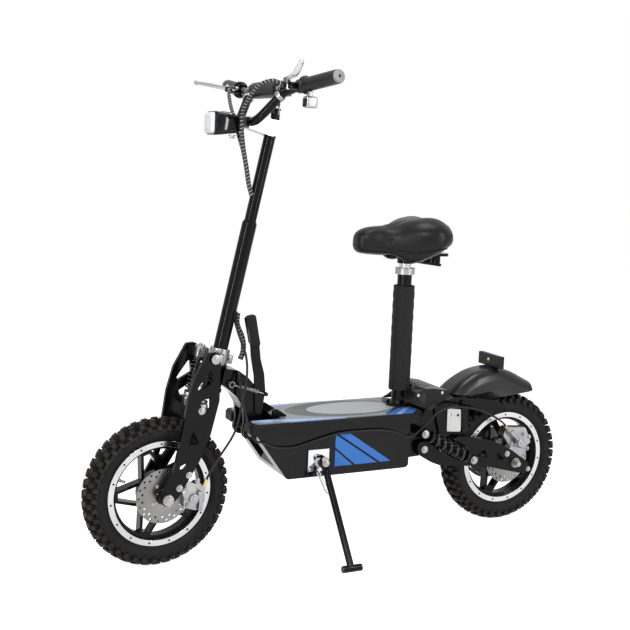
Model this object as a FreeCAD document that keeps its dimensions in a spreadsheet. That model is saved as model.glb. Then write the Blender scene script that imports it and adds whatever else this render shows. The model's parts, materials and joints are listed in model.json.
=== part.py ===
import FreeCAD, Part
import Sketcher
import math
import os

# Electric scooter, seated and folding, leaning on its side stand. Millimetres.
# Every piece is drawn upright with the steering straight: +X forward, +Y to the rider's left,
# +Z up, x = 0 at the rear axle and z = 0 on the ground. Placements then turn the steering,
# lean the scooter onto its stand and move the origin to the middle of its footprint.

V = FreeCAD.Vector
doc = FreeCAD.newDocument("ElectricScooter")

# Driving dimensions: name and value in millimetres or degrees
SIZES = (
    ("wheelbase", 1049),
    ("rakeDeg", 12.28),
    ("steerRestDeg", 4.64),
    ("leanDeg", 5.25),
    ("steerAxisX", 895.5),
    ("steerAxisZ", 500),
    ("originX", 524.5),
    ("originY", 95.5),
    # wheels
    ("tyreRadius", 191),
    ("tyreHalf", 37),
    ("tyreCrownHalf", 16),
    ("tyreCrownRound", 50),
    ("tyreShoulderIn", 3),
    ("tyreShoulderDrop", 11),
    ("lugCount", 25),
    ("lugGap", 11),
    ("lugHigh", 6),
    ("crownLugHalf", 13),
    ("lugChannel", 5),
    ("flangeRadius", 136),
    ("flangeWidth", 15),
    ("flangeThick", 4),
    ("rimHalf", 27),
    ("beadRadius", 126),
    ("seatGap", 0.3),
    ("spokeCount", 5),
    ("spokeThick", 26),
    ("spokeWidth", 8),
    ("spokeRing", 9),
    ("spokeFoot", 9.5),
    ("spokeRoot", 30.5),
    ("hubPlate", 52),
    ("hubRadius", 27),
    ("hubHalf", 42),
    ("axleRadius", 7.5),
    ("runGap", 0.05),
    ("discRadius", 70),
    ("discThick", 3.5),
    ("discHoleRadius", 3),
    ("discHoles", 18),
    ("sprocketRadius", 73),
    ("sprocketThick", 4),
    # front fork
    ("forkInner", 64),
    ("forkThick", 10),
    ("crownX", 933),
    ("crownZ", 537),
    ("crownBolt", 6),
    ("frontAxleEnd", 88),
    ("nutRadius", 12),
    ("nutThick", 9),
    ("washerThick", 2),
    ("forkSpringY", 42),
    ("forkSpringRadius", 15),
    ("wireRadius", 3),
    # steering column, along its own axis from the point (steerAxisX, steerAxisZ)
    ("headTubeRadius", 24),
    ("headTubeLow", -62),
    ("headTubeHigh", 10),
    ("steererRadius", 14),
    ("headGap", 1),
    ("crownThick", 30),
    ("crownReach", 14),
    ("stemRadius", 19),
    ("stemTopRadius", 15),
    ("stemStep", 375),
    ("stemLong", 606),
    # handlebar
    ("clampX", 833),
    ("clampZ", 1118),
    ("barRadius", 11),
    ("barCrownY", 48),
    ("riserX", 785),
    ("riserY", 92),
    ("riserZ", 1188),
    ("gripX", 775),
    ("gripY", 175),
    ("gripZ", 1207),
    ("gripEndX", 752),
    ("gripEndY", 292),
    ("gripEndZ", 1222),
    ("gripRadius", 17),
    ("padRadius", 22),
    ("padHalf", 74.7),
    # fold hinge and neck
    ("hingeX", 812),
    ("hingeZ", 333),
    ("hingePinRadius", 7),
    ("neckHalf", 34),
    ("neckPlate", 8),
    ("sideGap", 0.4),
    ("bracketPlate", 8),
    # deck and box
    ("deckTop", 365),
    ("deckThick", 25),
    ("deckHalf", 106),
    ("deckFront", 832),
    ("deckRear", 320),
    ("deckCorner", 28),
    ("deckBevel", 5),
    ("deckFrontRound", 18),
    ("notchHalf", 48),
    ("notchBack", 744),
    ("sheetInset", 12),
    ("sheetThick", 2.5),
    ("boxHalf", 92),
    ("boxBottom", 213),
    ("boxFrontLow", 728),
    ("boxFrontHigh", 813),
    ("boxRear", 365),
    ("boxRound", 12),
    # seat
    ("seatX", 352),
    ("seatTubeRadius", 20),
    ("seatTubeHigh", 752),
    ("seatTubeWall", 3),
    ("seatFlangeRadius", 36),
    ("seatFlangeThick", 6),
    ("sleeveRadius", 28.5),
    ("sleeveLow", 411),
    ("sleeveHigh", 709),
    ("collarRadius", 27),
    ("collarThick", 18),
    ("seatPostLow", 560),
    ("seatPostHigh", 784),
    ("seatClampRadius", 23),
    ("seatClampLow", 764),
    ("saddleBase", 796),
    ("saddleNoseX", 515),
    ("saddleTailX", 222),
    ("saddleHalf", 112),
    # rear end
    ("armFace", 86),
    ("armThick", 8),
    ("armPivotX", 314),
    ("armPivotZ", 256),
    ("armPivotRadius", 15),
    ("rearAxleEnd", 104),
    ("shockY", 97),
    ("shockTopX", 327),
    ("shockTopZ", 309),
    ("shockLowX", 161),
    ("shockLowZ", 221),
    ("shockSpringRadius", 19),
    ("plateFace", 68),
    ("plateThick", 8),
    ("uprightOut", 8),
    ("motorX", 262),
    ("motorZ", 330),
    ("motorRadius", 44),
    ("motorRight", 40),
    ("motorSprocketRadius", 20),
    ("chainY", 50),
    ("chainThick", 7),
    ("chainHigh", 9),
    ("chainGap", 0.5),
    ("fenderX", 51.5),
    ("fenderZ", 193),
    ("fenderRadius", 265),
    ("fenderHalf", 54),
    ("fenderDeep", 82),
    ("fenderThick", 3),
    ("fenderRound", 36),
    ("coverHalf", 79.3),
    ("coverThick", 3),
    ("lampX", 45),
    ("lampZ", 480),
    ("lampHalf", 52),
    ("lampHigh", 36),
    ("lampThick", 16),
    # side stand
    ("standPivotX", 633),
    ("standPivotZ", 257),
    ("standPivotY", 112),
    ("standFootY", 287),
    ("standRadius", 9),
    ("standEye", 14),
    ("standEyeThick", 9),
    ("standBolt", 5),
    ("standFootBack", 28),
    ("standFootFront", 24),
    # cables
    ("cableRadius", 2.5),
    ("loomRadius", 6),
)

sheet = doc.addObject("Spreadsheet::Sheet", "Sizes")
for row, (alias, value) in enumerate(SIZES, 1):
    sheet.set("A%d" % row, alias)
    sheet.set("B%d" % row, str(value))
    sheet.setAlias("B%d" % row, alias)
doc.recompute()


class Size:
    """The sheet's values, read as plain numbers by their names."""

    def __getattr__(self, name):
        return float(sheet.get(name))


s = Size()


def number(value):
    """A plain number, or what the sheet makes of an expression."""
    if not isinstance(value, str):
        return float(value)
    if value not in known:
        sheet.set("D1", "=" + value)
        sheet.recompute()
        known[value] = float(sheet.get("D1"))
    return known[value]


def full(words):
    """An expression with each size name led by the sheet's own name."""
    out, word = [], ""
    for letter in words + " ":
        if letter.isalnum():
            word += letter
            continue
        out.append("Sizes." + word if word in NAMES else word)
        out.append(letter)
        word = ""
    return "".join(out).strip()


NAMES = {alias for alias, _ in SIZES}
known = {}


def bind(item, field, value):
    """Sets a field of a feature to a number, or binds it to the sheet."""
    if isinstance(value, str):
        item.setExpression(field, full(value))
    else:
        item.setExpression(field, str(value))


# Placements

# The scooter leans about the line on the ground below its wheels.
LEAN = FreeCAD.Placement(V(0, 0, 0), FreeCAD.Rotation(V(1, 0, 0), -s.leanDeg))
lean = math.radians(s.leanDeg)
crown_turn = math.atan2(s.tyreShoulderDrop, s.tyreHalf - s.tyreShoulderIn - s.tyreCrownHalf)
crown_flat = s.tyreCrownHalf - s.tyreCrownRound * math.tan(crown_turn / 2)
lean_rise = (s.tyreCrownRound + (s.tyreRadius - s.tyreCrownRound) * math.cos(lean)
             + crown_flat * math.sin(lean))
TO_AXLE = FreeCAD.Placement(V(0, 0, -s.tyreRadius), FreeCAD.Rotation())
TO_ORIGIN = FreeCAD.Placement(V(-s.originX, -s.originY, lean_rise), FreeCAD.Rotation())
FRAME = TO_ORIGIN * LEAN * TO_AXLE
steer_axis = V(-math.sin(math.radians(s.rakeDeg)), 0, math.cos(math.radians(s.rakeDeg)))
steer_point = V(s.steerAxisX, 0, s.steerAxisZ)
STEER = FRAME * FreeCAD.Placement(V(0, 0, 0), FreeCAD.Rotation(steer_axis, s.steerRestDeg), steer_point)
ALONG_STEM = FreeCAD.Placement(steer_point, FreeCAD.Rotation(V(0, 1, 0), -s.rakeDeg))
STEM = STEER * ALONG_STEM
NECK_TUBE = FRAME * ALONG_STEM
FRONT_WHEEL = STEER * FreeCAD.Placement(V(s.wheelbase, 0, s.tyreRadius), FreeCAD.Rotation())
REAR_WHEEL = FRAME * FreeCAD.Placement(V(0, 0, s.tyreRadius), FreeCAD.Rotation())


def circle(x, y, radius):
    return ("circle", x, y, radius)


class Piece:
    """A PartDesign body that becomes one node, drawn with sketches bound to the sheet."""

    def __init__(self, name, placement):
        self.body = doc.addObject("PartDesign::Body", name)
        self.body.Label = name
        self.body.Placement = placement
        self.count = 0

    def sketch(self, plane, offset, outlines):
        self.count += 1
        drawing = self.body.newObject("Sketcher::SketchObject", "%sSketch%d" % (self.body.Name, self.count))
        support = next(f for f in self.body.Origin.OriginFeatures if f.Role == plane + "_Plane")
        drawing.AttachmentSupport = [(support, "")]
        drawing.MapMode = "FlatFace"
        sign = "-(%s)" if plane == "XZ" else "%s"
        bind(drawing, ".AttachmentOffset.Base.z", sign % offset)
        for outline in outlines:
            if outline[0] == "circle":
                self.draw_circle(drawing, *outline[1:])
            else:
                self.draw_outline(drawing, outline)
        return drawing

    def draw_circle(self, drawing, x, y, radius):
        centre = V(number(x), number(y), 0)
        ring = drawing.addGeometry(Part.Circle(centre, V(0, 0, 1), number(radius)))
        self.limit(drawing, "Radius", radius, ring)
        self.place(drawing, ring, 3, (x, y))

    def limit(self, drawing, kind, value, *places):
        index = drawing.addConstraint(Sketcher.Constraint(kind, *places, number(value)))
        if isinstance(value, str):
            drawing.setExpression("Constraints[%d]" % index, full(value))

    def place(self, drawing, item, end, point):
        for kind, value in zip(("DistanceX", "DistanceY"), point):
            self.limit(drawing, kind, value, -1, 1, item, end)

    def draw_outline(self, drawing, corners):
        """Closed outline of corners (x, y) or rounded corners (x, y, radius)."""
        points = [V(number(c[0]), number(c[1]), 0) for c in corners]
        total = len(points)
        ends = []
        for i, point in enumerate(points):
            radius = number(corners[i][2]) if len(corners[i]) > 2 else 0
            back = (points[i - 1] - point).normalize()
            ahead = (points[(i + 1) % total] - point).normalize()
            if radius == 0:
                ends.append((point, point, point, 0))
                continue
            half = back.getAngle(ahead) / 2
            reach = radius / math.tan(half)
            middle = (back + ahead).normalize() * (radius / math.sin(half) - radius)
            ends.append((point + back * reach, point + middle, point + ahead * reach, radius))
        for i, point in enumerate(points):
            used = (ends[i - 1][2] - points[i - 1]).Length + (ends[i][0] - point).Length
            if used > (points[i - 1] - point).Length + 1e-6:
                raise ValueError("%s: round corners too large near (%.1f, %.1f)" % (drawing.Label, point.x, point.y))
        lines = [drawing.addGeometry(Part.LineSegment(ends[i - 1][2], ends[i][0])) for i in range(total)]
        for i, (start, middle, finish, radius) in enumerate(ends):
            line, following = lines[i], lines[(i + 1) % total]
            if radius == 0:
                drawing.addConstraint(Sketcher.Constraint("Coincident", line, 2, following, 1))
                self.place(drawing, line, 2, corners[i])
                continue
            arc = drawing.addGeometry(Part.Arc(start, middle, finish))
            first, last = (1, 2) if (drawing.getPoint(arc, 1) - start).Length < 1e-6 else (2, 1)
            drawing.addConstraint(Sketcher.Constraint("Tangent", line, 2, arc, first))
            drawing.addConstraint(Sketcher.Constraint("Tangent", arc, last, following, 1))
            self.limit(drawing, "Radius", corners[i][2], arc)
            corner = drawing.addGeometry(Part.Point(points[i]), True)
            drawing.addConstraint(Sketcher.Constraint("PointOnObject", corner, 1, line))
            drawing.addConstraint(Sketcher.Constraint("PointOnObject", corner, 1, following))
            self.place(drawing, corner, 1, corners[i])

    def feature(self, kind, drawing):
        self.count += 1
        item = self.body.newObject("PartDesign::" + kind, "%s%s%d" % (self.body.Name, kind, self.count))
        item.Profile = drawing
        drawing.Visibility = False
        return item

    def pad(self, plane, start, length, *outlines, middle=False):
        """Adds a slab. On XZ it runs from start towards -Y, on XY upwards, on YZ forwards."""
        item = self.feature("Pad", self.sketch(plane, start, outlines))
        bind(item, "Length", length)
        item.Midplane = middle
        return item

    def pocket(self, plane, start, length, *outlines, middle=False):
        """Cuts a slab that runs as a pad's does."""
        item = self.feature("Pocket", self.sketch(plane, start, outlines))
        bind(item, "Length", length)
        item.Reversed = True
        item.Midplane = middle
        return item

    def turn(self, plane, *outlines, axis="V_Axis"):
        """A full turn about the sketch's own axis."""
        drawing = self.sketch(plane, 0, outlines)
        item = self.feature("Revolution", drawing)
        item.ReferenceAxis = (drawing, [axis])
        item.Angle = 360
        return item

    def groove(self, plane, *outlines, axis="V_Axis"):
        """Cuts a full turn about the sketch's own axis."""
        drawing = self.sketch(plane, 0, outlines)
        item = self.feature("Groove", drawing)
        item.ReferenceAxis = (drawing, [axis])
        item.Angle = 360
        return item

    def around(self, original, count):
        """Repeats a feature evenly round the normal of its sketch."""
        self.count += 1
        item = self.body.newObject("PartDesign::PolarPattern", "%sPattern%d" % (self.body.Name, self.count))
        item.Originals = [original]
        item.Axis = (original.Profile[0], ["N_Axis"])
        item.Angle = 360
        bind(item, "Occurrences", count)
        self.body.Tip = item
        return item


def rod_path(points, radii):
    """A wire of straight runs and tangent arcs through a route's points."""
    edges = []
    start = points[0]
    for i in range(1, len(points) - 1):
        back = (points[i - 1] - points[i]).normalize()
        ahead = (points[i + 1] - points[i]).normalize()
        half = back.getAngle(ahead) / 2
        reach = radii[i - 1] / math.tan(half)
        middle = (back + ahead).normalize() * (radii[i - 1] / math.sin(half) - radii[i - 1])
        enter, leave = points[i] + back * reach, points[i] + ahead * reach
        if (enter - start).Length > 1e-4:
            edges.append(Part.LineSegment(start, enter).toShape())
        edges.append(Part.Arc(enter, points[i] + middle, leave).toShape())
        start = leave
    edges.append(Part.LineSegment(start, points[-1]).toShape())
    return Part.Wire(edges)


def easy_radii(points):
    """For each inner point the arc that its two runs allow."""
    radii = []
    for i in range(1, len(points) - 1):
        back, ahead = points[i - 1] - points[i], points[i + 1] - points[i]
        turn = math.pi - back.getAngle(ahead)
        radii.append(0.45 * min(back.Length, ahead.Length) / math.tan(turn / 2))
    return radii


def tube(points, radius, radii=None):
    """A round bar along a route."""
    points = [V(*p) for p in points]
    path = rod_path(points, radii or easy_radii(points))
    section = Part.Wire(Part.Circle(points[0], points[1] - points[0], radius).toShape())
    return path.makePipeShell([section], True, True)


def plain(name, shape, placement):
    """A node whose shape is made directly from the sheet's values."""
    item = doc.addObject("Part::Feature", name)
    item.Label = name
    item.Shape = shape
    item.Placement = placement
    return item


def rod(start, end, radius):
    start, end = V(*start), V(*end)
    return Part.makeCylinder(radius, (end - start).Length, start, end - start)


# Wheels, drawn round their own axle, which runs along Y

def gap_outline(low, turn):
    """A gap between two lugs at an angle from the top of the tyre, from a radius outwards."""
    return [("(%s)*sin(%s)%slugGap/2*cos(%s)" % (reach, turn, side, turn),
             "(%s)*cos(%s)%slugGap/2*sin(%s)" % (reach, turn, "-" if side == "+" else "+", turn))
            for reach, side in ((low, "-"), (low, "+"), ("tyreRadius+5", "+"), ("tyreRadius+5", "-"))]


def make_tyre(name, placement):
    tyre = Piece(name, placement)
    low, high = "beadRadius+seatGap", "flangeRadius+seatGap"
    inside = "rimHalf-flangeThick-seatGap"
    half = [
        (low, inside), (high, inside), (high + "+3", "rimHalf+2"),
        ("tyreRadius-30", "tyreHalf", 14), ("tyreRadius-tyreShoulderDrop", "tyreHalf-tyreShoulderIn"),
        ("tyreRadius", "tyreCrownHalf", "tyreCrownRound"),
    ]
    other = [(x, "-(%s)" % y, *r) for x, y, *r in reversed(half)]
    tyre.turn("XY", half + other)
    # Tread: a channel on each side of the crown's lugs, and gaps across, staggered on the shoulders
    for near, far in (("crownLugHalf", "crownLugHalf+lugChannel"), ("-crownLugHalf-lugChannel", "-crownLugHalf")):
        tyre.groove("XY", [("tyreRadius-lugHigh", near), ("tyreRadius+2", near), ("tyreRadius+2", far),
                           ("tyreRadius-lugHigh", far)])
    across = tyre.pocket("XZ", 0, "2*crownLugHalf", gap_outline("tyreRadius-lugHigh", "0"), middle=True)
    tyre.around(across, "lugCount")
    for face in ("tyreHalf+1", "-crownLugHalf-lugChannel/2"):
        across = tyre.pocket("XZ", face, "tyreHalf+1-crownLugHalf-lugChannel/2",
                             gap_outline("tyreRadius-tyreShoulderDrop-lugHigh", "180/lugCount"))
        tyre.around(across, "lugCount")


def make_rim(name, placement):
    rim = Piece(name, placement)
    low, high, flat = "flangeRadius-flangeWidth", "flangeRadius", "rimHalf-flangeThick"
    half = [(low, "rimHalf", 1), (high, "rimHalf", 1), (high, flat, 1), ("beadRadius", flat)]
    other = [(x, "-(%s)" % y, *r) for x, y, *r in reversed(half)]
    rim.turn("XY", half + other)


def make_spokes(name, placement):
    spokes = Piece(name, placement)
    bore = "axleRadius+runGap"
    half = [(bore, "hubHalf"), ("hubRadius-7", "hubHalf", 2), ("hubRadius", "hubHalf-14", 3)]
    other = [(x, "-(%s)" % y, *r) for x, y, *r in reversed(half)]
    spokes.turn("XY", half + other)
    spokes.turn("XY", [("hubRadius-2", "spokeThick/2", 2), ("hubPlate", "spokeThick/2", 2),
                       ("hubPlate", "-spokeThick/2", 2), ("hubRadius-2", "-spokeThick/2", 2)])
    edge, bore = "flangeRadius-flangeWidth-seatGap", "flangeRadius-flangeWidth-spokeRing"
    spokes.turn("XY", [(bore, "spokeThick/2", 1), (edge, "spokeThick/2", 1), (edge, "-spokeThick/2", 1),
                       (bore, "-spokeThick/2", 1)])
    # Each pair of arms spreads from a foot at the rim to the plate round the hub
    arm = [("hubPlate-12", "spokeRoot-spokeWidth/2"), (bore + "+3", "spokeFoot-spokeWidth/2"),
           (bore + "+3", "spokeFoot+spokeWidth/2"), ("hubPlate-12", "spokeRoot+spokeWidth/2")]
    mirror = [(x, "-(%s)" % y) for x, y in reversed(arm)]
    foot = [(bore + "-7", "-spokeFoot"), (bore + "+3", "-spokeFoot"), (bore + "+3", "spokeFoot"),
            (bore + "-7", "spokeFoot")]
    for outline in (arm, mirror, foot):
        pads = spokes.pad("XZ", 0, "spokeThick", outline, middle=True)
        spokes.around(pads, "spokeCount")


def make_disc(name, placement):
    disc = Piece(name, placement)
    disc.pad("XZ", "hubHalf+discThick", "discThick", circle(0, 0, "discRadius"), circle(0, 0, "axleRadius+4"))
    # Two rows of holes, staggered
    for x, y in (("discRadius-6", 0), ("(discRadius-15)*cos(180/discHoles)", "(discRadius-15)*sin(180/discHoles)")):
        holes = disc.pocket("XZ", "hubHalf+discThick", "discThick", circle(x, y, "discHoleRadius"))
        disc.around(holes, "discHoles")


for end, place in (("front", FRONT_WHEEL), ("rear", REAR_WHEEL)):
    make_tyre(end + "_tyre", place)
    make_rim(end + "_rim", place)
    make_spokes(end + "_spokes", place)
    make_disc(end + "_disc", place)

sprocket = Piece("rear_sprocket", REAR_WHEEL)
sprocket.pad("XZ", "sprocketThick/2-chainY", "sprocketThick", circle(0, 0, "sprocketRadius"),
             circle(0, 0, "axleRadius+4"))
sprocket.pad("XZ", "-hubHalf", "chainY-sprocketThick/2-hubHalf", circle(0, 0, "hubRadius-4"),
             circle(0, 0, "axleRadius+4"))


# Axles: the rod, a nut outside each side plate and the spacers that keep the hub in the middle

def hexagon(radius):
    """The corners of a nut round the sketch's origin."""
    return [("%s*cos(%d)" % (radius, turn), "%s*sin(%d)" % (radius, turn)) for turn in range(0, 360, 60)]


def make_axle(name, placement, end, inner, outer):
    axle = Piece(name, placement)
    axle.pad("XZ", 0, "2*" + end, circle(0, 0, "axleRadius"), middle=True)
    axle.pad("XZ", "%s+nutThick" % outer, "nutThick-washerThick", hexagon("nutRadius"))
    axle.pad("XZ", "-(%s)-washerThick" % outer, "nutThick-washerThick", hexagon("nutRadius"))
    axle.pad("XZ", "%s+washerThick" % outer, "washerThick", circle(0, 0, "nutRadius+2"))
    axle.pad("XZ", "-(%s)" % outer, "washerThick", circle(0, 0, "nutRadius+2"))
    axle.pad("XZ", inner, inner + "-hubHalf-runGap", circle(0, 0, "axleRadius+3"))
    axle.pad("XZ", "-hubHalf-runGap", inner + "-hubHalf-runGap", circle(0, 0, "axleRadius+3"))


make_axle("front_axle", FRONT_WHEEL, "frontAxleEnd", "forkInner", "forkInner+forkThick")
make_axle("rear_axle", REAR_WHEEL, "rearAxleEnd", "armFace-armThick", "armFace")

# Fork: two side plates with windows, bolted to the crown at the top and to the axle at the bottom

FORK_EDGE = (
    ("crownX-16", "crownZ-8", 12), ("crownX-12", "crownZ+18", 14), (951, 553, 10), (985, 494, 20), (1003, 432, 20),
    (1012, 366, 30), (1034, 262, 25), (1060, 214, 8), ("wheelbase+22", "tyreRadius+4", 14),
    ("wheelbase+2", "tyreRadius-26", 16), ("wheelbase-30", "tyreRadius+2", 12),
    (966, 280, 20), (938, 345, 30), (917, 430, 20),
)
FORK_WINDOWS = (
    ((941, 514, 4), (936, 477, 4), (974, 457, 4), (976, 466, 4)),
    ((942, 446, 4), (941, 412, 4), (962, 406, 4), (970, 430, 4)),
    ((986, 362, 4), (968, 324, 4), (997, 324, 4)),
    ((985, 290, 4), (1008, 262, 4), (1020, 262, 4), (1014, 280, 4)),
)
for label, face in (("fork_left", "forkInner+forkThick"), ("fork_right", "-forkInner")):
    fork = Piece(label, STEER)
    fork.pad("XZ", face, "forkThick", FORK_EDGE, *FORK_WINDOWS)
    fork.pocket("XZ", face, "forkThick", circle("wheelbase", "tyreRadius", "axleRadius"))
    fork.pocket("XZ", face, "forkThick", circle("crownX", "crownZ", "crownBolt"))

# Crown, drawn along the steering axis: its block clamps the steerer and spans the plates
CROWN_AT = ("((crownX-steerAxisX)*cos(rakeDeg)+(crownZ-steerAxisZ)*sin(rakeDeg))",
            "((crownZ-steerAxisZ)*cos(rakeDeg)-(crownX-steerAxisX)*sin(rakeDeg))")
CROWN_LOW = CROWN_AT[1] + "-crownThick/2"
crown = Piece("fork_crown", STEM)
back, arm, front = "-headTubeRadius-6", CROWN_AT[0] + "-crownReach", CROWN_AT[0] + "+crownReach"
crown.pad("XY", CROWN_LOW, "crownThick", [
    (back, "-headTubeRadius", 14), ("headTubeRadius-6", "-headTubeRadius-6", 6), (arm, "-forkInner"),
    (front, "-forkInner"), (front, "forkInner"), (arm, "forkInner"),
    ("headTubeRadius-6", "headTubeRadius+6", 6), (back, "headTubeRadius", 14)])
crown.pad("XZ", "forkInner+forkThick+crownBolt", "2*(forkInner+forkThick+crownBolt)",
          circle(*CROWN_AT, "crownBolt"))
for face in ("forkInner+forkThick+crownBolt", "-forkInner-forkThick"):
    crown.pad("XZ", face, "crownBolt", circle(*CROWN_AT, "crownBolt+4"))
crown.pocket("XY", CROWN_LOW, "crownThick", circle(0, 0, "steererRadius"))

# Fork springs: a coil over a rod on each side, from the crown down to a knuckle bolted to its plate
SPRING_TOP, SPRING_LOW = V(925, 0, 519), V(950, 0, 424)


def coil_over(start, end, radius, wire, turns, rod_radius):
    """A rod in its spring, whose turns are closed rings with slanted sides on a sleeve."""
    away = (end - start).normalize()
    length = (end - start).Length
    core, pitch = radius - 2 * wire + 0.5, length / turns
    profile = [V(0, 0, 0), V(rod_radius, 0, 0), V(rod_radius, 0, 0.5), V(core, 0, 0.5)]
    for i in range(turns):
        middle = pitch * (i + 0.5)
        profile += [V(core, 0, middle - wire), V(radius, 0, middle - wire / 2), V(radius, 0, middle + wire / 2),
                    V(core, 0, middle + wire)]
    profile += [V(core, 0, length - 0.5), V(rod_radius, 0, length - 0.5), V(rod_radius, 0, length), V(0, 0, length), V(0, 0, 0)]
    shape = Part.Face(Part.makePolygon(profile)).revolve(V(0, 0, 0), V(0, 0, 1), 360)
    shape.Placement = FreeCAD.Placement(start, FreeCAD.Rotation(V(0, 0, 1), away))
    return shape


parts_of_fork = []
for sign in (1, -1):
    shift = V(0, sign * s.forkSpringY, 0)
    coil = coil_over(SPRING_TOP + shift, SPRING_LOW + shift, s.forkSpringRadius, s.wireRadius, 7, 7)
    knuckle = Part.makeBox(26, s.forkInner - s.forkSpringY + 13, 30)
    knuckle.translate(V(SPRING_LOW.x - 9, min(sign * s.forkInner, sign * (s.forkSpringY - 13)), SPRING_LOW.z - 29))
    parts_of_fork.append(coil.fuse(knuckle))
plain("fork_springs", Part.Compound(parts_of_fork), STEER)

# Stem: steerer through the head tube, thick lower tube, thinner top tube, and the block on top
stem = Piece("stem", STEM)
stem.turn("XZ", [
    (0, "headTubeLow-headGap-8"), ("steererRadius+4", "headTubeLow-headGap-8", 1),
    ("steererRadius+4", "headTubeLow-headGap", 1), ("steererRadius", "headTubeLow-headGap"),
    ("steererRadius", CROWN_LOW + "+crownThick"), ("stemRadius", CROWN_LOW + "+crownThick"),
    ("stemRadius", "stemStep", 3), ("stemTopRadius", "stemStep+8", 3), ("stemTopRadius", "stemLong", 2), (0, "stemLong")])

# Gooseneck: the block that clamps the stem and reaches forward to hold the bar
gooseneck = Piece("gooseneck", STEER)
gooseneck.pad("XZ", 19, 38, [
    ("clampX+4", "clampZ-15", 6), ("clampX+4", "clampZ+13", 6), ("clampX-40", "clampZ+16", 10),
    ("clampX-62", "clampZ+10", 6), ("clampX-100", "clampZ+6", 8), ("clampX-101", "clampZ-28", 8),
    ("clampX-60", "clampZ-32", 6)])
gooseneck.pocket("XZ", 30, 60, circle("clampX", "clampZ", "barRadius"))
STEM_AT = "steerAxisX-(%s)*sin(rakeDeg)+(%s)*cos(rakeDeg)", "steerAxisZ+(%s)*cos(rakeDeg)+(%s)*sin(rakeDeg)"
socket = []
for along, out in (("stemLong-40", -1), ("stemLong-40", 1), ("stemLong+seatGap", 1), ("stemLong+seatGap", -1)):
    across = "%d*(stemTopRadius+seatGap)" % out
    socket.append([words % (along, across) for words in STEM_AT])
gooseneck.pocket("XZ", 0, "2*stemTopRadius+2*seatGap", socket, middle=True)

cap = Piece("bar_clamp", STEER)
cap.pad("XZ", 17, 34, [
    ("clampX+4.2", "clampZ-15"), ("clampX+16", "clampZ-14", 4), ("clampX+17", "clampZ+12", 4),
    ("clampX+4.2", "clampZ+13")])
cap.pocket("XZ", 30, 60, circle("clampX", "clampZ", "barRadius"))

# Handlebar, both halves from the same route
BAR = ((0, "clampX", "clampZ"), ("barCrownY", "clampX", "clampZ"), ("riserY", "riserX", "riserZ"),
       ("gripY-30", "gripX", "gripZ-5"), ("gripEndY", "gripEndX", "gripEndZ"))
half_bar = [(number(x), number(y), number(z)) for y, x, z in BAR]
mirror_bar = [(x, -y, z) for x, y, z in reversed(half_bar[1:])]
bar_points = mirror_bar + half_bar[1:]
clamps = [Part.makeBox(26, 22, 26, V(s.riserX - 19, (s.riserY - 13) * sign - (22 if sign < 0 else 0), s.riserZ - 6))
          for sign in (1, -1)]
plain("handlebar", tube(bar_points, s.barRadius, [22, 26, 40, 40, 26, 22]).fuse(clamps), STEER)

pad = Piece("bar_pad", STEER)
pad.pad("XZ", 0, "2*padHalf", circle("riserX-6", "riserZ+12", "padRadius"), middle=True)
pad.pad("XZ", 0, "2*(riserY-13)", circle("riserX-6", "riserZ+12", 5), middle=True)

for label, sign in (("left_grip", 1), ("right_grip", -1)):
    outer = V(s.gripEndX, sign * s.gripEndY, s.gripEndZ)
    half = half_bar[-2:]
    start = V(half[0][0], sign * half[0][1], half[0][2])
    along = (outer - start).normalize()
    inner = start + along * 34
    grip = Part.makeCylinder(s.gripRadius, (outer - inner).Length + 5, inner, along)
    flange = Part.makeCylinder(s.gripRadius + 7, 5, inner, along)
    hollow = Part.makeCylinder(s.barRadius, (outer - inner).Length, inner, along)
    plain(label, grip.fuse(flange).cut(hollow), STEER)

    # Brake lever: perch round the bar, then a blade that reaches forward and out
    perch_at = start + along * 12
    perch = Part.makeCylinder(s.barRadius + 6, 18, perch_at, along)
    perch = perch.fuse(rod(perch_at + along * 9, perch_at + along * 9 + V(36, 0, 6), 8))
    perch = perch.cut(Part.makeCylinder(s.barRadius, 60, start - along * 10, along))
    rise = 26 if sign > 0 else 0
    knee = perch_at + along * 6 + V(40, 0, 8)
    blade = tube([tuple(knee), tuple(knee + V(2, sign * 22, rise * 0.3)), tuple(knee + V(16, sign * 60, rise)),
                  tuple(knee + V(14, sign * 105, rise * 1.4))], 5)
    plain(label.replace("grip", "lever"), perch.fuse(blade), STEER)

# Switch box under the left grip's inner end
switch = Piece("switch_box", STEER)
switch.pad("XZ", "gripY+44", 26, [(750, 1152, 4), (786, 1155, 4), (788, 1180, 4), (772, 1191.5, 4), (752, 1189, 4)])

# Headlight on its bracket, in front of the bar clamp
lamp = Piece("headlight", STEER)
lamp.pad("YZ", 868, 62, [(-26, 1082, 16), (26, 1082, 16), (26, 1138, 16), (-26, 1138, 16)])
lamp.pad("XZ", 9, 18, [(868, 1074, 3), (868, 1095), (900, 1095), (900, 1074, 3)])
lamp.pad("XZ", 8, 16, [("clampX+17+seatGap", "clampZ-10"), ("clampX+17+seatGap", "clampZ+6"), (869, "clampZ+6"),
                       (869, "clampZ-10")])

lens = Piece("headlight_lens", STEER)
lens.pad("YZ", 930, 10, [(-26, 1082, 16), (26, 1082, 16), (26, 1138, 16), (-26, 1138, 16)])

# Ignition lock on top of the gooseneck's rear end, with the key in it
lock = Piece("ignition_lock", STEER)
lock.pad("XY", "clampZ+10", 16, circle("clampX-78", 0, 10))
lock.pad("XY", "clampZ+26", 12, [("clampX-84", -1.5), ("clampX-72", -1.5), ("clampX-72", 1.5), ("clampX-84", 1.5)])

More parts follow.
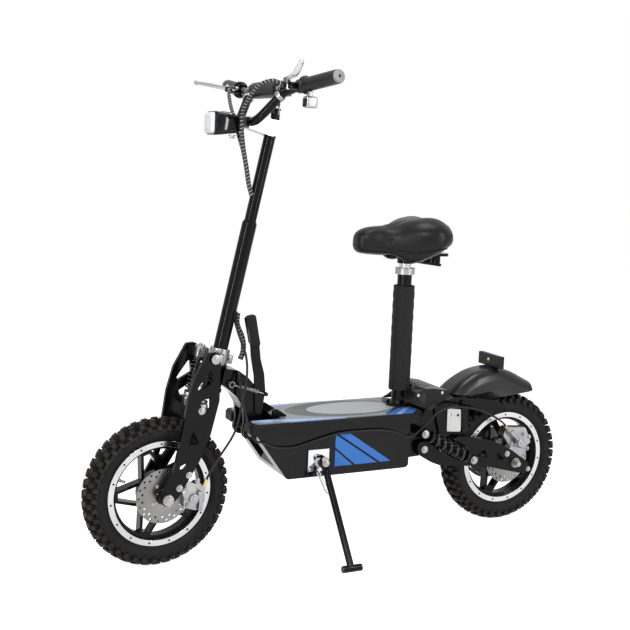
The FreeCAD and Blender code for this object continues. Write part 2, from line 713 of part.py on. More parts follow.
# Neck: head tube and curved side plates down to the fold lugs, drawn along the steering axis
HINGE = ("((hingeX-steerAxisX)*cos(rakeDeg)+(hingeZ-steerAxisZ)*sin(rakeDeg))",
         "((hingeZ-steerAxisZ)*cos(rakeDeg)-(hingeX-steerAxisX)*sin(rakeDeg))")
NECK_EDGE = [
    (-12, 4, 6), (-48, 5, 20), (-80, -9, 20), (-103, -26, 16), (-122, -72, 30),
    (HINGE[0] + "-22", HINGE[1] + "+24", 20), (HINGE[0] + "-22", HINGE[1] + "-20", 18),
    (HINGE[0] + "+20", HINGE[1] + "-20", 18), (HINGE[0] + "+22", HINGE[1] + "+22", 12),
    (-84, -88, 40), (-61, -63, 30), (-32, -47, 20), (-12, -38, 6)]
neck = Piece("neck_yoke", NECK_TUBE)
neck.pad("XZ", 0, "2*neckHalf", NECK_EDGE, middle=True)
neck.pocket("XZ", 0, "2*(neckHalf-neckPlate)", [
    (-36, -8, 6), (-74, -20, 10), (-94, -36, 10), (-113, -80, 20), (HINGE[0] + "-40", HINGE[1] + "+30"),
    (HINGE[0] + "-40", HINGE[1] + "-40"), (HINGE[0] + "+40", HINGE[1] + "-40"), (HINGE[0] + "+40", HINGE[1] + "+30"),
    (-89, -84, 20), (-66, -58, 10), (-36, -40, 6)], middle=True)
neck.turn("XZ", [(0, "headTubeLow"), ("headTubeRadius+3", "headTubeLow", 2), ("headTubeRadius+3", "headTubeLow+9", 2),
                 ("headTubeRadius", "headTubeLow+11", 2), ("headTubeRadius", "headTubeHigh-11", 2),
                 ("headTubeRadius+3", "headTubeHigh-9", 2), ("headTubeRadius+3", "headTubeHigh", 2), (0, "headTubeHigh")])
neck.pocket("XY", "headTubeLow-1", "headTubeHigh-headTubeLow+2", circle(0, 0, "steererRadius+runGap"))
neck.pocket("XZ", 0, "2*neckHalf", circle(*HINGE, "hingePinRadius+runGap"), middle=True)

# Fold hinge: a bracket in the deck's notch holds the pin outside the neck's two plates
bracket = Piece("hinge_bracket", FRAME)
wall = "notchBack+sideGap"
outer = "neckHalf+sideGap+bracketPlate"
LUG_PLATE = [
    (wall, "hingeZ-32"), ("hingeX+4", "hingeZ-22", 14), ("hingeX+21", "hingeZ-6", 14), ("hingeX+16", "hingeZ+20", 14),
    ("hingeX-18", "hingeZ+18", 14), (wall, "hingeZ+6")]
for face in (outer, "-(neckHalf+sideGap)"):
    bracket.pad("XZ", face, "bracketPlate", LUG_PLATE)
bracket.pad("XZ", 0, "2*(%s)" % outer, [(wall, "hingeZ-32"), (wall + "+8", "hingeZ-32"), (wall + "+8", "deckTop+sheetThick"),
                                       (wall, "deckTop+sheetThick")], middle=True)
bracket.pad("XZ", 0, "2*(%s)" % outer, [
    ("notchBack-30", "deckTop+sheetThick"), (wall + "+8", "deckTop+sheetThick"), (wall + "+8", "deckTop+sheetThick+5"),
    ("notchBack-30", "deckTop+sheetThick+5")], middle=True)
for face in (outer, "-(neckHalf+sideGap)"):
    bracket.pad("XZ", face, "bracketPlate", [
        ("notchBack-30", "deckTop+sheetThick+4"), (wall + "+8", "deckTop+sheetThick+4"),
        (wall + "+7", "deckTop+24", 5), ("notchBack-4", "deckTop+24", 8)])
bracket.pocket("XZ", 0, "2*(%s)" % outer, circle("hingeX", "hingeZ", "hingePinRadius"), middle=True)

pin = Piece("hinge_pin", FRAME)
pin.pad("XZ", 0, "2*(%s)" % outer, circle("hingeX", "hingeZ", "hingePinRadius"), middle=True)
pin.pad("XZ", "%s+5" % outer, 5, circle("hingeX", "hingeZ", "hingePinRadius+4"))
pin.pad("XZ", "-(%s)" % outer, 5, circle("hingeX", "hingeZ", "hingePinRadius+4"))

# Latch lever on the neck's left side: a wide plate low down, a flat bar and a rubber sleeve above
latch = Piece("latch_lever", FRAME)
latch.pad("XZ", "neckHalf+sideGap+6", 6, [
    (783, 376, 6), (800, 376, 6), (804, 440, 20), (806, 480, 20), (815, 523, 30), (819, 563), (795, 563),
    (790, 523, 30), (779, 485, 20), (774, 440, 20)])
latch.pad("XZ", "neckHalf+sideGap+12", 18, [(794, 563, 3), (820, 563, 3), (835, 632, 8), (812, 637, 8)])

# Extension spring from the front of the neck to the latch
latch_side = s.neckHalf + s.sideGap + 6 + s.seatGap + 5
plain("latch_spring", rod((864, latch_side, 460), (776, latch_side, 431), 5).fuse(
    Part.makeTorus(8, 1.6, V(871, latch_side, 462), V(0, 1, 0))), FRAME)

# Deck board with its rubber edge, and the sheet on top
def deck_outline(inset):
    side = "deckHalf-%s" % inset
    front, rear = "deckFront-%s" % inset, "deckRear+%s" % inset
    notch, back = "notchHalf+%s" % inset, "notchBack-%s" % inset
    return [
        (rear, "-(%s)+deckCorner" % side), (rear + "+deckCorner", "-(%s)" % side), (front, "-(%s)" % side, "deckFrontRound"),
        (front, "-(%s)" % notch), (back, "-(%s)" % notch), (back, notch), (front, notch), (front, side, "deckFrontRound"),
        (rear + "+deckCorner", side), (rear, side + "-deckCorner")]


deck = Piece("deck_board", FRAME)
deck.pad("XY", "deckTop-deckThick", "deckThick-deckBevel", deck_outline(0))
slope = deck.pad("XY", "deckTop-deckBevel", "deckBevel", deck_outline(0))
slope.TaperAngle = -40
top_sheet = Piece("deck_sheet", FRAME)
top_sheet.pad("XY", "deckTop", "sheetThick", deck_outline("sheetInset"))

# Battery box with its sloped front, cut back round the fold hinge
box = Piece("battery_box", FRAME)
deck_low = "deckTop-deckThick"
box.pad("XZ", 0, "2*boxHalf", [
    ("boxRear", "boxBottom", "boxRound"), ("boxFrontLow", "boxBottom", "boxRound"), ("boxFrontHigh", deck_low + "-8"),
    ("boxFrontHigh-4", deck_low), ("boxRear", deck_low)], middle=True)
box.pocket("XZ", 0, "2*notchHalf", [("notchBack", "boxBottom"), ("boxFrontHigh+20", "boxBottom"),
                                    ("boxFrontHigh+20", deck_low + "+1"), ("notchBack", deck_low + "+1")], middle=True)

# Seat tube with its bolted flange on the deck, rubber sleeve, and clamp collar
floor = "deckTop+sheetThick"
post = Piece("seat_tube", FRAME.multiply(FreeCAD.Placement(V(s.seatX, 0, 0), FreeCAD.Rotation())))
post.turn("XZ", [("seatTubeRadius-seatTubeWall", floor), ("seatFlangeRadius", floor), ("seatFlangeRadius", floor + "+seatFlangeThick", 1),
                 ("seatTubeRadius+4", floor + "+seatFlangeThick", 3), ("seatTubeRadius", floor + "+seatFlangeThick+10", 3),
                 ("seatTubeRadius", "seatTubeHigh"), ("seatTubeRadius-seatTubeWall", "seatTubeHigh")])
SEAT = FRAME.multiply(FreeCAD.Placement(V(s.seatX, 0, 0), FreeCAD.Rotation()))
sleeve = Piece("post_sleeve", SEAT)
sleeve.turn("XZ", [("seatTubeRadius+seatGap", "sleeveLow", 1), ("sleeveRadius", "sleeveLow", 2), ("sleeveRadius", "sleeveHigh", 2),
                   ("seatTubeRadius+seatGap", "sleeveHigh", 1)])
collar = Piece("seat_collar", SEAT)
collar.turn("XZ", [("seatTubeRadius+0.05", "seatTubeHigh-collarThick", 1), ("collarRadius", "seatTubeHigh-collarThick", 1),
                   ("collarRadius", "seatTubeHigh", 1), ("seatTubeRadius+0.05", "seatTubeHigh", 1)])
inner_post = Piece("seat_post", SEAT)
inner_post.turn("XZ", [(0, "seatPostLow"), ("seatTubeRadius-seatTubeWall-runGap", "seatPostLow", 1),
                       ("seatTubeRadius-seatTubeWall-runGap", "seatPostHigh"), (0, "seatPostHigh")])

# Saddle on its clamp, base plate and two rear springs
rails = Piece("saddle_frame", SEAT)
rails.turn("XZ", [("seatTubeRadius-seatTubeWall", "seatClampLow", 1), ("seatClampRadius", "seatClampLow", 1),
                  ("seatClampRadius", "seatPostHigh+4", 1), (0, "seatPostHigh+4"), (0, "seatPostHigh+0.1"),
                  ("seatTubeRadius-seatTubeWall", "seatPostHigh+0.1")])
rails.pad("XZ", 0, 60, [(-100, 762, 3), (-94, 757, 3), ("-seatClampRadius+4", "seatClampLow+3"), ("-seatClampRadius+4", "seatClampLow+9"),
                        (-94, 765, 3)], middle=True)
rails.pad("XY", "seatPostHigh+4", "saddleBase-seatPostHigh-4", [(-105, -70, 20), (70, -30, 10), (70, 30, 10), (-105, 70, 20)])
for side in (1, -1):
    rails.pad("XY", 760, "saddleBase-760", circle(-84, side * 22, 12))

# Sections of the cushion: share of the way from tail to nose, share of the half width, lowest and highest
# heights above the base plate
SADDLE = (
    (0.00, 0.60, 18, 60), (0.04, 0.78, 4, 74), (0.14, 0.96, -8, 87), (0.30, 1.00, -13, 92), (0.48, 0.82, -14, 88),
    (0.64, 0.52, -12, 72), (0.80, 0.37, -10, 64), (0.92, 0.31, -7, 57), (0.98, 0.22, -2, 47), (1.00, 0.11, 9, 36),
)
rings = []
for along, wide, low, high in SADDLE:
    points = []
    for step in range(20):
        turn = 2 * math.pi * (step + 0.5) / 20
        out, up = math.cos(turn), math.sin(turn)
        points.append(V(s.saddleTailX + along * (s.saddleNoseX - s.saddleTailX),
                        wide * s.saddleHalf * math.copysign(abs(out) ** 0.75, out),
                        s.saddleBase + (low + high) / 2 + (high - low) / 2 * math.copysign(abs(up) ** 0.8, up)))
    curve = Part.BSplineCurve()
    curve.interpolate(Points=points, PeriodicFlag=True)
    rings.append(Part.Wire(curve.toShape()))
cushion = Part.makeLoft(rings, True, False)
under = Part.makePolygon([V(s.seatX + x, y, s.saddleBase - 60) for x, y in (
    (-108, -73), (73, -33), (73, 33), (-108, 73), (-108, -73))])
room = Part.Face(under).extrude(V(0, 0, 60 + s.seatGap))
plain("saddle", cushion.cut(room), FRAME)

# Swinging fork plates, joined by the pivot tube
AXLE_AT = (0, "tyreRadius")
SHOCK_DIR = (V(s.shockTopX - s.shockLowX, 0, s.shockTopZ - s.shockLowZ)).normalize()
ARM_EDGE = [
    (334, 262, 8), (325, 240, 10), (290, 219, 20), (256, 205, 20), (153, 195, 60), (89, 186, 60), (9, 165, 40),
    (-40, 154, 5), (-56, 166, 4), (-44, 190, 8), (14, 229, 40), (63, 254, 40), (106, 269, 40), (159, 280, 30),
    (232, 286, 6), (166, 251, 12), (188, 210, 12), (286, 262, 8), (300, 278, 8), (328, 278, 8)]
ARM_WINDOWS = (((143, 224, 4), (104, 241, 4), (95, 213, 4)), ((68, 226, 4), (56, 223, 4), (34, 203, 4), (62, 203, 4)))
arms = Piece("swing_arm", FRAME)
for face in ("armFace", "-armFace+armThick"):
    arms.pad("XZ", face, "armThick", ARM_EDGE, *ARM_WINDOWS)
arms.pad("XZ", 0, "2*armFace", circle("armPivotX", "armPivotZ", "armPivotRadius"), middle=True)
arms.pocket("XZ", 0, "2*armFace", circle(*AXLE_AT, "axleRadius"), middle=True)

# Shocks outside the plates
shocks = []
for sign in (1, -1):
    low = V(s.shockLowX, sign * s.shockY, s.shockLowZ)
    high = V(s.shockTopX, sign * s.shockY, s.shockTopZ)
    coil = coil_over(high - SHOCK_DIR * 16, low + SHOCK_DIR * 22, s.shockSpringRadius, 4, 7, 8)
    for eye in (low, high):
        inside = V(eye.x, sign * s.armFace, eye.z)
        outside = V(eye.x, sign * (s.shockY + 9), eye.z)
        coil = coil.fuse(rod(inside, outside, 13))
    coil = coil.fuse(rod(high, high - SHOCK_DIR * 20, 9)).fuse(rod(low, low + SHOCK_DIR * 26, 9))
    shocks.append(coil)
plain("rear_shocks", Part.Compound(shocks), FRAME)

# Rear bracket: two plates with uprights behind the battery box, and the tubes between them
PLATE_EDGE = [
    ("boxRear", 232, 6), ("boxRear", 338, 6), (317, 338, 10), (296, 382, 10), (205, 392, 8), (166, 391, 4),
    (162, 286, 8), (240, 282, 10), (286, 236, 14)]
PLATE_WINDOW = ((232, 360, 6), (190, 356, 6), (190, 296, 6), (232, 300, 6))
rear = Piece("rear_bracket", FRAME)
for face in ("plateFace", "-plateFace+plateThick"):
    rear.pad("XZ", face, "plateThick", PLATE_EDGE, PLATE_WINDOW)
for face in ("plateFace", "-plateFace+coverThick"):
    rear.pad("XZ", face, "coverThick", [(175, 389), (120, 384), (59, 375, 8), (37, 357, 3), (46, 345, 4), (84, 330, 8),
                                       (157, 366, 6), (175, 366)])
for face in ("plateFace+uprightOut", "-plateFace"):
    rear.pad("XZ", face, "uprightOut", [(282, 379, 3), (256, 381, 3), (236, 296, 3), (258, 292, 3)])
    rear.pad("XZ", face, "uprightOut", [(190, 384, 3), (168, 380, 3), (164, 290, 3), (182, 290, 3)])
rear.pad("XZ", 0, "2*(plateFace-plateThick)", circle(344, 308, 10), middle=True)
rear.pad("XZ", 0, "2*(plateFace-plateThick)", circle(178, 384.4, 6), middle=True)
for face in ("armFace", "-plateFace"):
    rear.pad("XZ", face, "armFace-plateFace", circle("shockTopX", "shockTopZ", 13))
rear.pocket("XZ", 0, "2*armFace", circle("armPivotX", "armPivotZ", "armPivotRadius+seatGap"), middle=True)

cover_plate = Piece("motor_plate", FRAME)
cover_plate.pad("XZ", "plateFace+4", 4, [(234, 364, 4), (188, 358, 4), (186, 294, 4), (232, 298, 4)],
                circle(224, 345, 4), circle(198, 342, 4))

# Motor between the bracket plates, and the chain round both sprockets
motor = Piece("motor", FRAME.multiply(FreeCAD.Placement(V(s.motorX, 0, s.motorZ), FreeCAD.Rotation())))
motor.turn("XY", [(0, "plateFace-plateThick"), ("motorRadius-6", "plateFace-plateThick", 3), ("motorRadius", "plateFace-plateThick-12", 3),
                  ("motorRadius", "8-motorRight", 3), ("motorRadius-8", "-motorRight", 3), (9, "-motorRight"),
                  (9, "sprocketThick/2-chainY"), ("motorSprocketRadius", "sprocketThick/2-chainY"),
                  ("motorSprocketRadius", "-chainY-sprocketThick/2"), (0, "-chainY-sprocketThick/2")])


def loop_face(big, big_radius, small, small_radius):
    """A flat face round two circles and the straight runs that touch both."""
    across = small - big
    lean = math.asin((big_radius - small_radius) / across.Length)
    heading = math.atan2(across.z, across.x)
    points = []
    for turn in (math.pi / 2 - lean, -(math.pi / 2 - lean)):
        away = V(math.cos(heading + turn), 0, math.sin(heading + turn))
        points.append((big + away * big_radius, small + away * small_radius))
    (high_big, high_small), (low_big, low_small) = points
    back = V(math.cos(heading), 0, math.sin(heading))
    edges = [
        Part.LineSegment(high_big, high_small).toShape(),
        Part.Arc(high_small, small + back * small_radius, low_small).toShape(),
        Part.LineSegment(low_small, low_big).toShape(),
        Part.Arc(low_big, big - back * big_radius, high_big).toShape()]
    return Part.Face(Part.Wire(edges))


big_at, small_at = V(0, -s.chainY - s.chainThick / 2, s.tyreRadius), V(s.motorX, -s.chainY - s.chainThick / 2, s.motorZ)
inner_face = loop_face(big_at, s.sprocketRadius + s.chainGap, small_at, s.motorSprocketRadius + s.chainGap)
outer_face = loop_face(big_at, s.sprocketRadius + s.chainGap + s.chainHigh, small_at,
                       s.motorSprocketRadius + s.chainGap + s.chainHigh)
plain("drive_chain", outer_face.cut(inner_face).extrude(V(0, s.chainThick, 0)), FRAME)


# Rear fender: a shell turned about its own centre above the wheel, then cut along its lower edge
FENDER = FRAME.multiply(FreeCAD.Placement(V(s.fenderX, 0, s.fenderZ), FreeCAD.Rotation()))
fender = Piece("rear_fender", FENDER)
low, inside = "fenderRadius-fenderDeep", "fenderHalf-fenderThick"
fender.turn("XY", [
    (low, "fenderHalf"), ("fenderRadius", "fenderHalf", "fenderRound"), ("fenderRadius", "-fenderHalf", "fenderRound"),
    (low, "-fenderHalf"), (low, "-(%s)" % inside),
    ("fenderRadius-fenderThick", "-(%s)" % inside, "fenderRound-fenderThick"),
    ("fenderRadius-fenderThick", inside, "fenderRound-fenderThick"), (low, inside)])
fender.pocket("XZ", 0, "2*fenderHalf+2", [
    ("-fenderRadius-5", "-fenderRadius-5"), ("fenderRadius+5", "-fenderRadius-5"), ("fenderRadius+5", 212),
    (190, 206), (20, 184), (-150, 186), (-146, "fenderRadius+5"), ("-fenderRadius-5", "fenderRadius+5")], middle=True)

# Louvred cover over the motor
hood = Piece("rear_cover", FRAME)
hood.pad("XZ", 0, "2*coverHalf", [
    (365, 390), (342, 415, 12), (316, 425, 20), (285, 425, 30), (240, 417), (241, 414), (285, 422, 27), (315, 422, 17),
    (340, 412.5, 9), (361, 390)], middle=True)
for face in ("coverHalf", "coverThick-coverHalf"):
    hood.pad("XZ", face, "coverThick", [
        (365, 390), (342, 415, 12), (316, 425, 20), (285, 425, 30), (240, 417), (232, 396, 6), (262, 386, 6),
        (294, 362, 8), (318, 372, 8)])
hood.pocket("XY", 380, 60, circle("seatX", 0, "sleeveRadius+8"))
for left in range(-52, 53, 22):
    hood.pocket("XY", 380, 60, [(252, left - 9), (302, left + 3), (302, left + 9), (252, left - 3)])

# Tail light on its stalk
light = Piece("tail_light", FRAME)
light.pad("XZ", 0, "2*lampHalf", [("lampX-lampThick/2", "lampZ-lampHigh/2", 3), ("lampX+lampThick/2", "lampZ-lampHigh/2", 3),
                                  ("lampX+lampThick/2", "lampZ+lampHigh/2", 3), ("lampX-lampThick/2", "lampZ+lampHigh/2", 3)], middle=True)
light.pad("XZ", 0, 14, [(42, "fenderZ+fenderRadius+seatGap"), (52, "fenderZ+fenderRadius+seatGap"), (52, "lampZ-lampHigh/2+1"), (42, "lampZ-lampHigh/2+1")], middle=True)

# Brake calipers, each astride its disc
for label, place, seat, lug, points in (
        ("front_caliper", STEER, "forkInner", ((962, 214, 4), (1016, 240, 6), (1026, 216, 6), (992, 190, 4)), ((942, 206, 6), (962, 222, 6), (1000, 196, 6), (1000, 160, 6), (966, 148, 6), (944, 170, 6))),
        ("rear_caliper", FRAME, "armFace-armThick", ((-44, 224, 4), (12, 240, 4), (22, 222, 6), (-22, 202, 6)), ((30, 268, 6), (20, 292, 6), (-48, 286, 6), (-70, 240, 6), (-44, 222, 6), (10, 240, 6)))):
    caliper = Piece(label, place)
    centre = "wheelbase" if label[0] == "f" else 0
    caliper.pad("XZ", "hubHalf+20", 27, points)
    caliper.pad("XZ", seat + "-seatGap", seat + "-seatGap-hubHalf-12", lug)
    caliper.pocket("XZ", "hubHalf+discThick+2", "discThick+4", circle(centre, "tyreRadius", "discRadius+3"))

# Side stand. STAND has its z along the pivot, its y down the leg and its x forward.
foot_z = s.tyreRadius + (s.standRadius - lean_rise + s.standFootY * math.sin(lean)) / math.cos(lean)
leg_out, leg_down = s.standFootY - s.standPivotY, s.standPivotZ - foot_z
leg_long = math.hypot(leg_out, leg_down)
PIVOT = FreeCAD.Placement(V(s.standPivotX, s.standPivotY, s.standPivotZ),
                          FreeCAD.Rotation(V(1, 0, 0), -math.degrees(math.atan2(leg_down, leg_out))))
STAND = FRAME * PIVOT
leg = Piece("side_stand", STAND)
leg.turn("XY", [(0, "standEye+4"), ("standEyeThick/2-0.5", "standEye+4"), ("standRadius", "standEye+18", 6),
                ("standRadius", leg_long), (0, leg_long)])
leg.pad("XY", "-standEyeThick/2", "standEyeThick", circle(0, 0, "standEye"))
leg.pad("XY", "-standEyeThick/2", "standEyeThick", [
    ("-standRadius", 0), ("standRadius", 0), ("standRadius", "standEye+18", 2), ("-standRadius", "standEye+18", 2)])
leg.pad("YZ", "-standFootBack", "standFootBack+standFootFront", circle(leg_long, 0, "standRadius"))
leg.pocket("XY", -20, 40, circle(0, 0, "standBolt+runGap"))

# Its bracket: a plate on the box with a slanted ear, and the bolt that the leg turns on
plate = Part.makeBox(60, 6.7, 58, V(612, s.boxHalf + s.seatGap, 230))
ear = Part.makeCylinder(s.standEye + 2, 6, V(0, 0, -s.standEyeThick / 2 - s.sideGap - 6))
ear = ear.fuse(Part.makeBox(2 * s.standEye + 4, 30, 6, V(-s.standEye - 2, -30, -s.standEyeThick / 2 - s.sideGap - 6)))
bolt = Part.makeCylinder(s.standBolt, s.standEyeThick + 2 * s.sideGap + 3, V(0, 0, -s.standEyeThick / 2 - s.sideGap - 1))
bolt = bolt.fuse(Part.makeCylinder(s.standBolt + 4, 6, V(0, 0, s.standEyeThick / 2 + s.sideGap)))
for shape in (ear, bolt):
    shape.Placement = PIVOT
behind = Part.makeBox(200, 60, 200, V(s.standPivotX - 100, s.boxHalf + s.seatGap - 60, s.standPivotZ - 100))
plain("stand_bracket", plate.fuse([ear, bolt]).cut(behind).removeSplitter(), FRAME)

# Cables
def by_stem(along, forward, left):
    """A point beside the steering axis, in the upright frame."""
    return tuple(ALONG_STEM.multVec(V(forward, left, along)))


on_stem = s.stemRadius + s.seatGap
on_cable = on_stem + s.cableRadius
on_top = s.stemTopRadius + s.loomRadius + s.seatGap
plain("front_brake_cable", tube([
    by_stem(150, -0.86 * on_cable, 0.51 * on_cable), by_stem(105, -0.86 * on_cable, 0.51 * on_cable), (842, 24, 570),
    (836, 56, 530),
    (836, 72, 480), (852, 78, 390), (898, 84, 320), (932, 82, 266), (952, 68, 232), (956, 62, 219)], s.cableRadius), STEER)
plain("bar_loom", tube([
    (826, 118, 1222), (848, 80, 1215), (866, 56, 1180), (862, 34, 1120), (848, 26, 1060),
    by_stem(515, on_top * 0.8, on_top * 0.6), by_stem(470, on_top * 0.8, on_top * 0.6)], s.loomRadius), STEER)
plain("neck_loom", tube([
    by_stem(160, -on_stem - s.loomRadius, 0), by_stem(120, -on_stem - s.loomRadius, 0), (824, 8, 570), (826, 12, 535),
    (842, 14, 508)], s.loomRadius), STEER)

sheet.clear("D1")
doc.recompute()
os.makedirs("parts", exist_ok=True)
nodes = [item for item in doc.Objects if item.TypeId == "PartDesign::Body" or item.TypeId == "Part::Feature"]
faults = ["%s %s" % (item.Label, item.State) for item in doc.Objects if "Invalid" in item.State or "Error" in item.State]
faults += [item.Label + " has no valid shape" for item in nodes if item.Shape.isNull() or not item.Shape.isValid()]
if faults:
    raise RuntimeError("; ".join(faults))
for item in nodes:
    item.Shape.exportStep("parts/%s.step" % item.Label)
print(len(nodes), "nodes written")
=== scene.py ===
import json
import math
import bpy
import bmesh
from mathutils import Matrix, Vector
from mathutils.geometry import interpolate_bezier


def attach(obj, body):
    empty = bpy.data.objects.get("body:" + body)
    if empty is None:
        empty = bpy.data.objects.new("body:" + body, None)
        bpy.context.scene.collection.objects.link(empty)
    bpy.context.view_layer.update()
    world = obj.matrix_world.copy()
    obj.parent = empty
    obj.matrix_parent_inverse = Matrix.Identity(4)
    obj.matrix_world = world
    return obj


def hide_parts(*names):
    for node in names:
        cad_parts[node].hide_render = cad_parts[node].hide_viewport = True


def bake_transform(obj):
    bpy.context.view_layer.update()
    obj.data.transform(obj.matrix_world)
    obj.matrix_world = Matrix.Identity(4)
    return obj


# Electric scooter on its side stand. The frame is in metres. Pieces are drawn in millimetres, upright and with the
# steering straight, and are then placed by one of the matrices below.

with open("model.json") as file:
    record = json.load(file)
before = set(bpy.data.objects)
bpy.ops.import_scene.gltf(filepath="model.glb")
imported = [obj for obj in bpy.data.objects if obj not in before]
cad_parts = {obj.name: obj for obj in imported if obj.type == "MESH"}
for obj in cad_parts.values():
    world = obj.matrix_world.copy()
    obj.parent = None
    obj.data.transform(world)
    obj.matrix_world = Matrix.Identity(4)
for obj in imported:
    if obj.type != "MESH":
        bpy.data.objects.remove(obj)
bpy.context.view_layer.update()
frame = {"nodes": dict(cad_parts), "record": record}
nodes = frame["nodes"]
print("stage: frame loaded")

# Camera, floor and light

view = {"place": (1.24427, 2.33928, 0.77684), "yaw": -115.598, "pitch": -3.284, "lens": 57.35}
studio = {"sky": 0.20, "floorGlow": 0.88, "floorBounce": 0.32, "half": 30}
lamps = {"key": ((1.3, 2.9, 2.5), (0, 0, 0.5), (0.9, 0.6), 48),  # place, aim, size and power
         "frontStrip": ((2.7, 1.5, 1.2), (0.3, 0, 0.6), (0.14, 2.4), 46),
         "rearStrip": ((-1.6, 2.6, 1.4), (-0.2, 0, 0.5), (0.14, 2.2), 40),
         "top": ((-0.2, 0.3, 3.2), (0, 0, 0.4), (1.6, 0.7), 26)}


def makeCamera():
    yaw, pitch = math.radians(view["yaw"]), math.radians(view["pitch"])
    ahead = Vector((math.cos(yaw) * math.cos(pitch), math.sin(yaw) * math.cos(pitch), math.sin(pitch)))
    data = bpy.data.cameras.new("camera")
    data.lens = view["lens"]
    data.sensor_width = 36
    data.clip_start = 0.05
    camera = bpy.data.objects.new("camera", data)
    camera.location = view["place"]
    camera.rotation_euler = ahead.to_track_quat("-Z", "Y").to_euler()
    bpy.context.scene.collection.objects.link(camera)
    bpy.context.scene.camera = camera


def areaLight(name, place, aim, size, power):
    data = bpy.data.lights.new(name, "AREA")
    data.shape = "RECTANGLE"
    data.size, data.size_y = size
    data.energy = power
    light = bpy.data.objects.new(name, data)
    light.location = place
    light.rotation_euler = (Vector(aim) - Vector(place)).to_track_quat("-Z", "Y").to_euler()
    bpy.context.scene.collection.objects.link(light)


def seenDirectly(tree):  # 1 for rays that show the background itself: camera, mirror and glass rays
    path = tree.nodes.new("ShaderNodeLightPath")
    total = path.outputs["Is Camera Ray"]
    for kind in ("Is Glossy Ray", "Is Transmission Ray"):
        most = tree.nodes.new("ShaderNodeMath")
        most.operation = "MAXIMUM"
        tree.links.new(total, most.inputs[0])
        tree.links.new(path.outputs[kind], most.inputs[1])
        total = most.outputs[0]
    return total


def makeWorld(scene):
    world = bpy.data.worlds.new("studio")
    world.use_nodes = True
    scene.world = world
    tree = world.node_tree
    tree.nodes.clear()
    out = tree.nodes.new("ShaderNodeOutputWorld")
    mix = tree.nodes.new("ShaderNodeMixShader")
    tree.links.new(seenDirectly(tree), mix.inputs[0])
    for spot, color, strength in ((1, (0.95, 0.97, 1, 1), studio["sky"]), (2, (1, 1, 1, 1), 1.0)):
        back = tree.nodes.new("ShaderNodeBackground")
        back.inputs["Color"].default_value = color
        back.inputs["Strength"].default_value = strength
        tree.links.new(back.outputs[0], mix.inputs[spot])
    tree.links.new(mix.outputs[0], out.inputs[0])


def makeFloor(scene):
    bm = bmesh.new()
    bmesh.ops.create_grid(bm, x_segments=1, y_segments=1, size=studio["half"])
    mesh = bpy.data.meshes.new("floor")
    bm.to_mesh(mesh)
    bm.free()
    floor = bpy.data.objects.new("floor", mesh)
    scene.collection.objects.link(floor)
    material = bpy.data.materials.new("floorWhite")
    material.use_nodes = True
    tree = material.node_tree
    shown = tree.nodes["Principled BSDF"]
    shown.inputs["Base Color"].default_value = (0.9, 0.9, 0.9, 1)
    shown.inputs["Roughness"].default_value = 0.9
    shown.inputs["Specular IOR Level"].default_value = 0.0
    shown.inputs["Emission Color"].default_value = (1, 1, 1, 1)
    shown.inputs["Emission Strength"].default_value = studio["floorGlow"]
    bounce = tree.nodes.new("ShaderNodeBsdfDiffuse")
    bounce.inputs["Color"].default_value = (*[studio["floorBounce"]] * 3, 1)
    mix = tree.nodes.new("ShaderNodeMixShader")
    tree.links.new(seenDirectly(tree), mix.inputs[0])
    tree.links.new(bounce.outputs[0], mix.inputs[1])
    tree.links.new(shown.outputs[0], mix.inputs[2])
    tree.links.new(mix.outputs[0], tree.nodes["Material Output"].inputs["Surface"])
    mesh.materials.append(material)


def makeStage():
    scene = bpy.context.scene
    scene.view_settings.view_transform = "Standard"
    makeWorld(scene)
    makeFloor(scene)
    for name, lamp in lamps.items():
        areaLight(name, *lamp)


makeCamera()
makeStage()
print("stage: camera, floor and light")

# Where pieces go. Millimetres, x forward from the rear axle, y to the rider's left, z up from the ground.

stance = {
    "lean": 5.25, "rise": 190.585, "middle": (524.5, 95.5), "radius": 191, "wheelbase": 1049, "head": (895.5, 0, 500),
    "rake": 12.28, "turn": 4.64}


def moved(x, y, z):
    return Matrix.Translation((x, y, z))


def turned(degrees, axis):
    return Matrix.Rotation(math.radians(degrees), 4, axis)


rake = math.radians(stance["rake"])
upright = (Matrix.Scale(0.001, 4) @ moved(-stance["middle"][0], -stance["middle"][1], stance["rise"])
           @ turned(-stance["lean"], "X") @ moved(0, 0, -stance["radius"]))
steered = (upright @ moved(*stance["head"]) @ turned(stance["turn"], Vector((-math.sin(rake), 0, math.cos(rake))))
           @ moved(*[-v for v in stance["head"]]))
stemLine = steered @ moved(*stance["head"]) @ turned(-stance["rake"], "Y")
lieDown = turned(-90, "X")  # turns a piece's own z to y, along an axle
frontHub = steered @ moved(stance["wheelbase"], 0, stance["radius"]) @ lieDown
rearHub = upright @ moved(0, 0, stance["radius"]) @ lieDown
drawn = {  # how each body's pieces are drawn
    "frame": upright, "neck": upright, "seat": upright, "steering": steered, "front_wheel": frontHub,
    "rear_wheel": rearHub}

# Materials


def shaderTree(name):
    material = bpy.data.materials.new(name)
    material.use_nodes = True
    return material, material.node_tree, material.node_tree.nodes["Principled BSDF"]


def objectPoint(tree):
    return tree.nodes.new("ShaderNodeTexCoord").outputs["Object"]


def addNoise(tree, scale, detail=4, roughness=0.55):
    noise = tree.nodes.new("ShaderNodeTexNoise")
    noise.inputs["Scale"].default_value = scale
    noise.inputs["Detail"].default_value = detail
    noise.inputs["Roughness"].default_value = roughness
    tree.links.new(objectPoint(tree), noise.inputs["Vector"])
    return noise.outputs["Fac"]


def addRange(tree, value, low, high, fromLow=0.3, fromHigh=0.7):
    node = tree.nodes.new("ShaderNodeMapRange")
    node.inputs["From Min"].default_value = fromLow
    node.inputs["From Max"].default_value = fromHigh
    node.inputs["To Min"].default_value = low
    node.inputs["To Max"].default_value = high
    tree.links.new(value, node.inputs["Value"])
    return node.outputs["Result"]


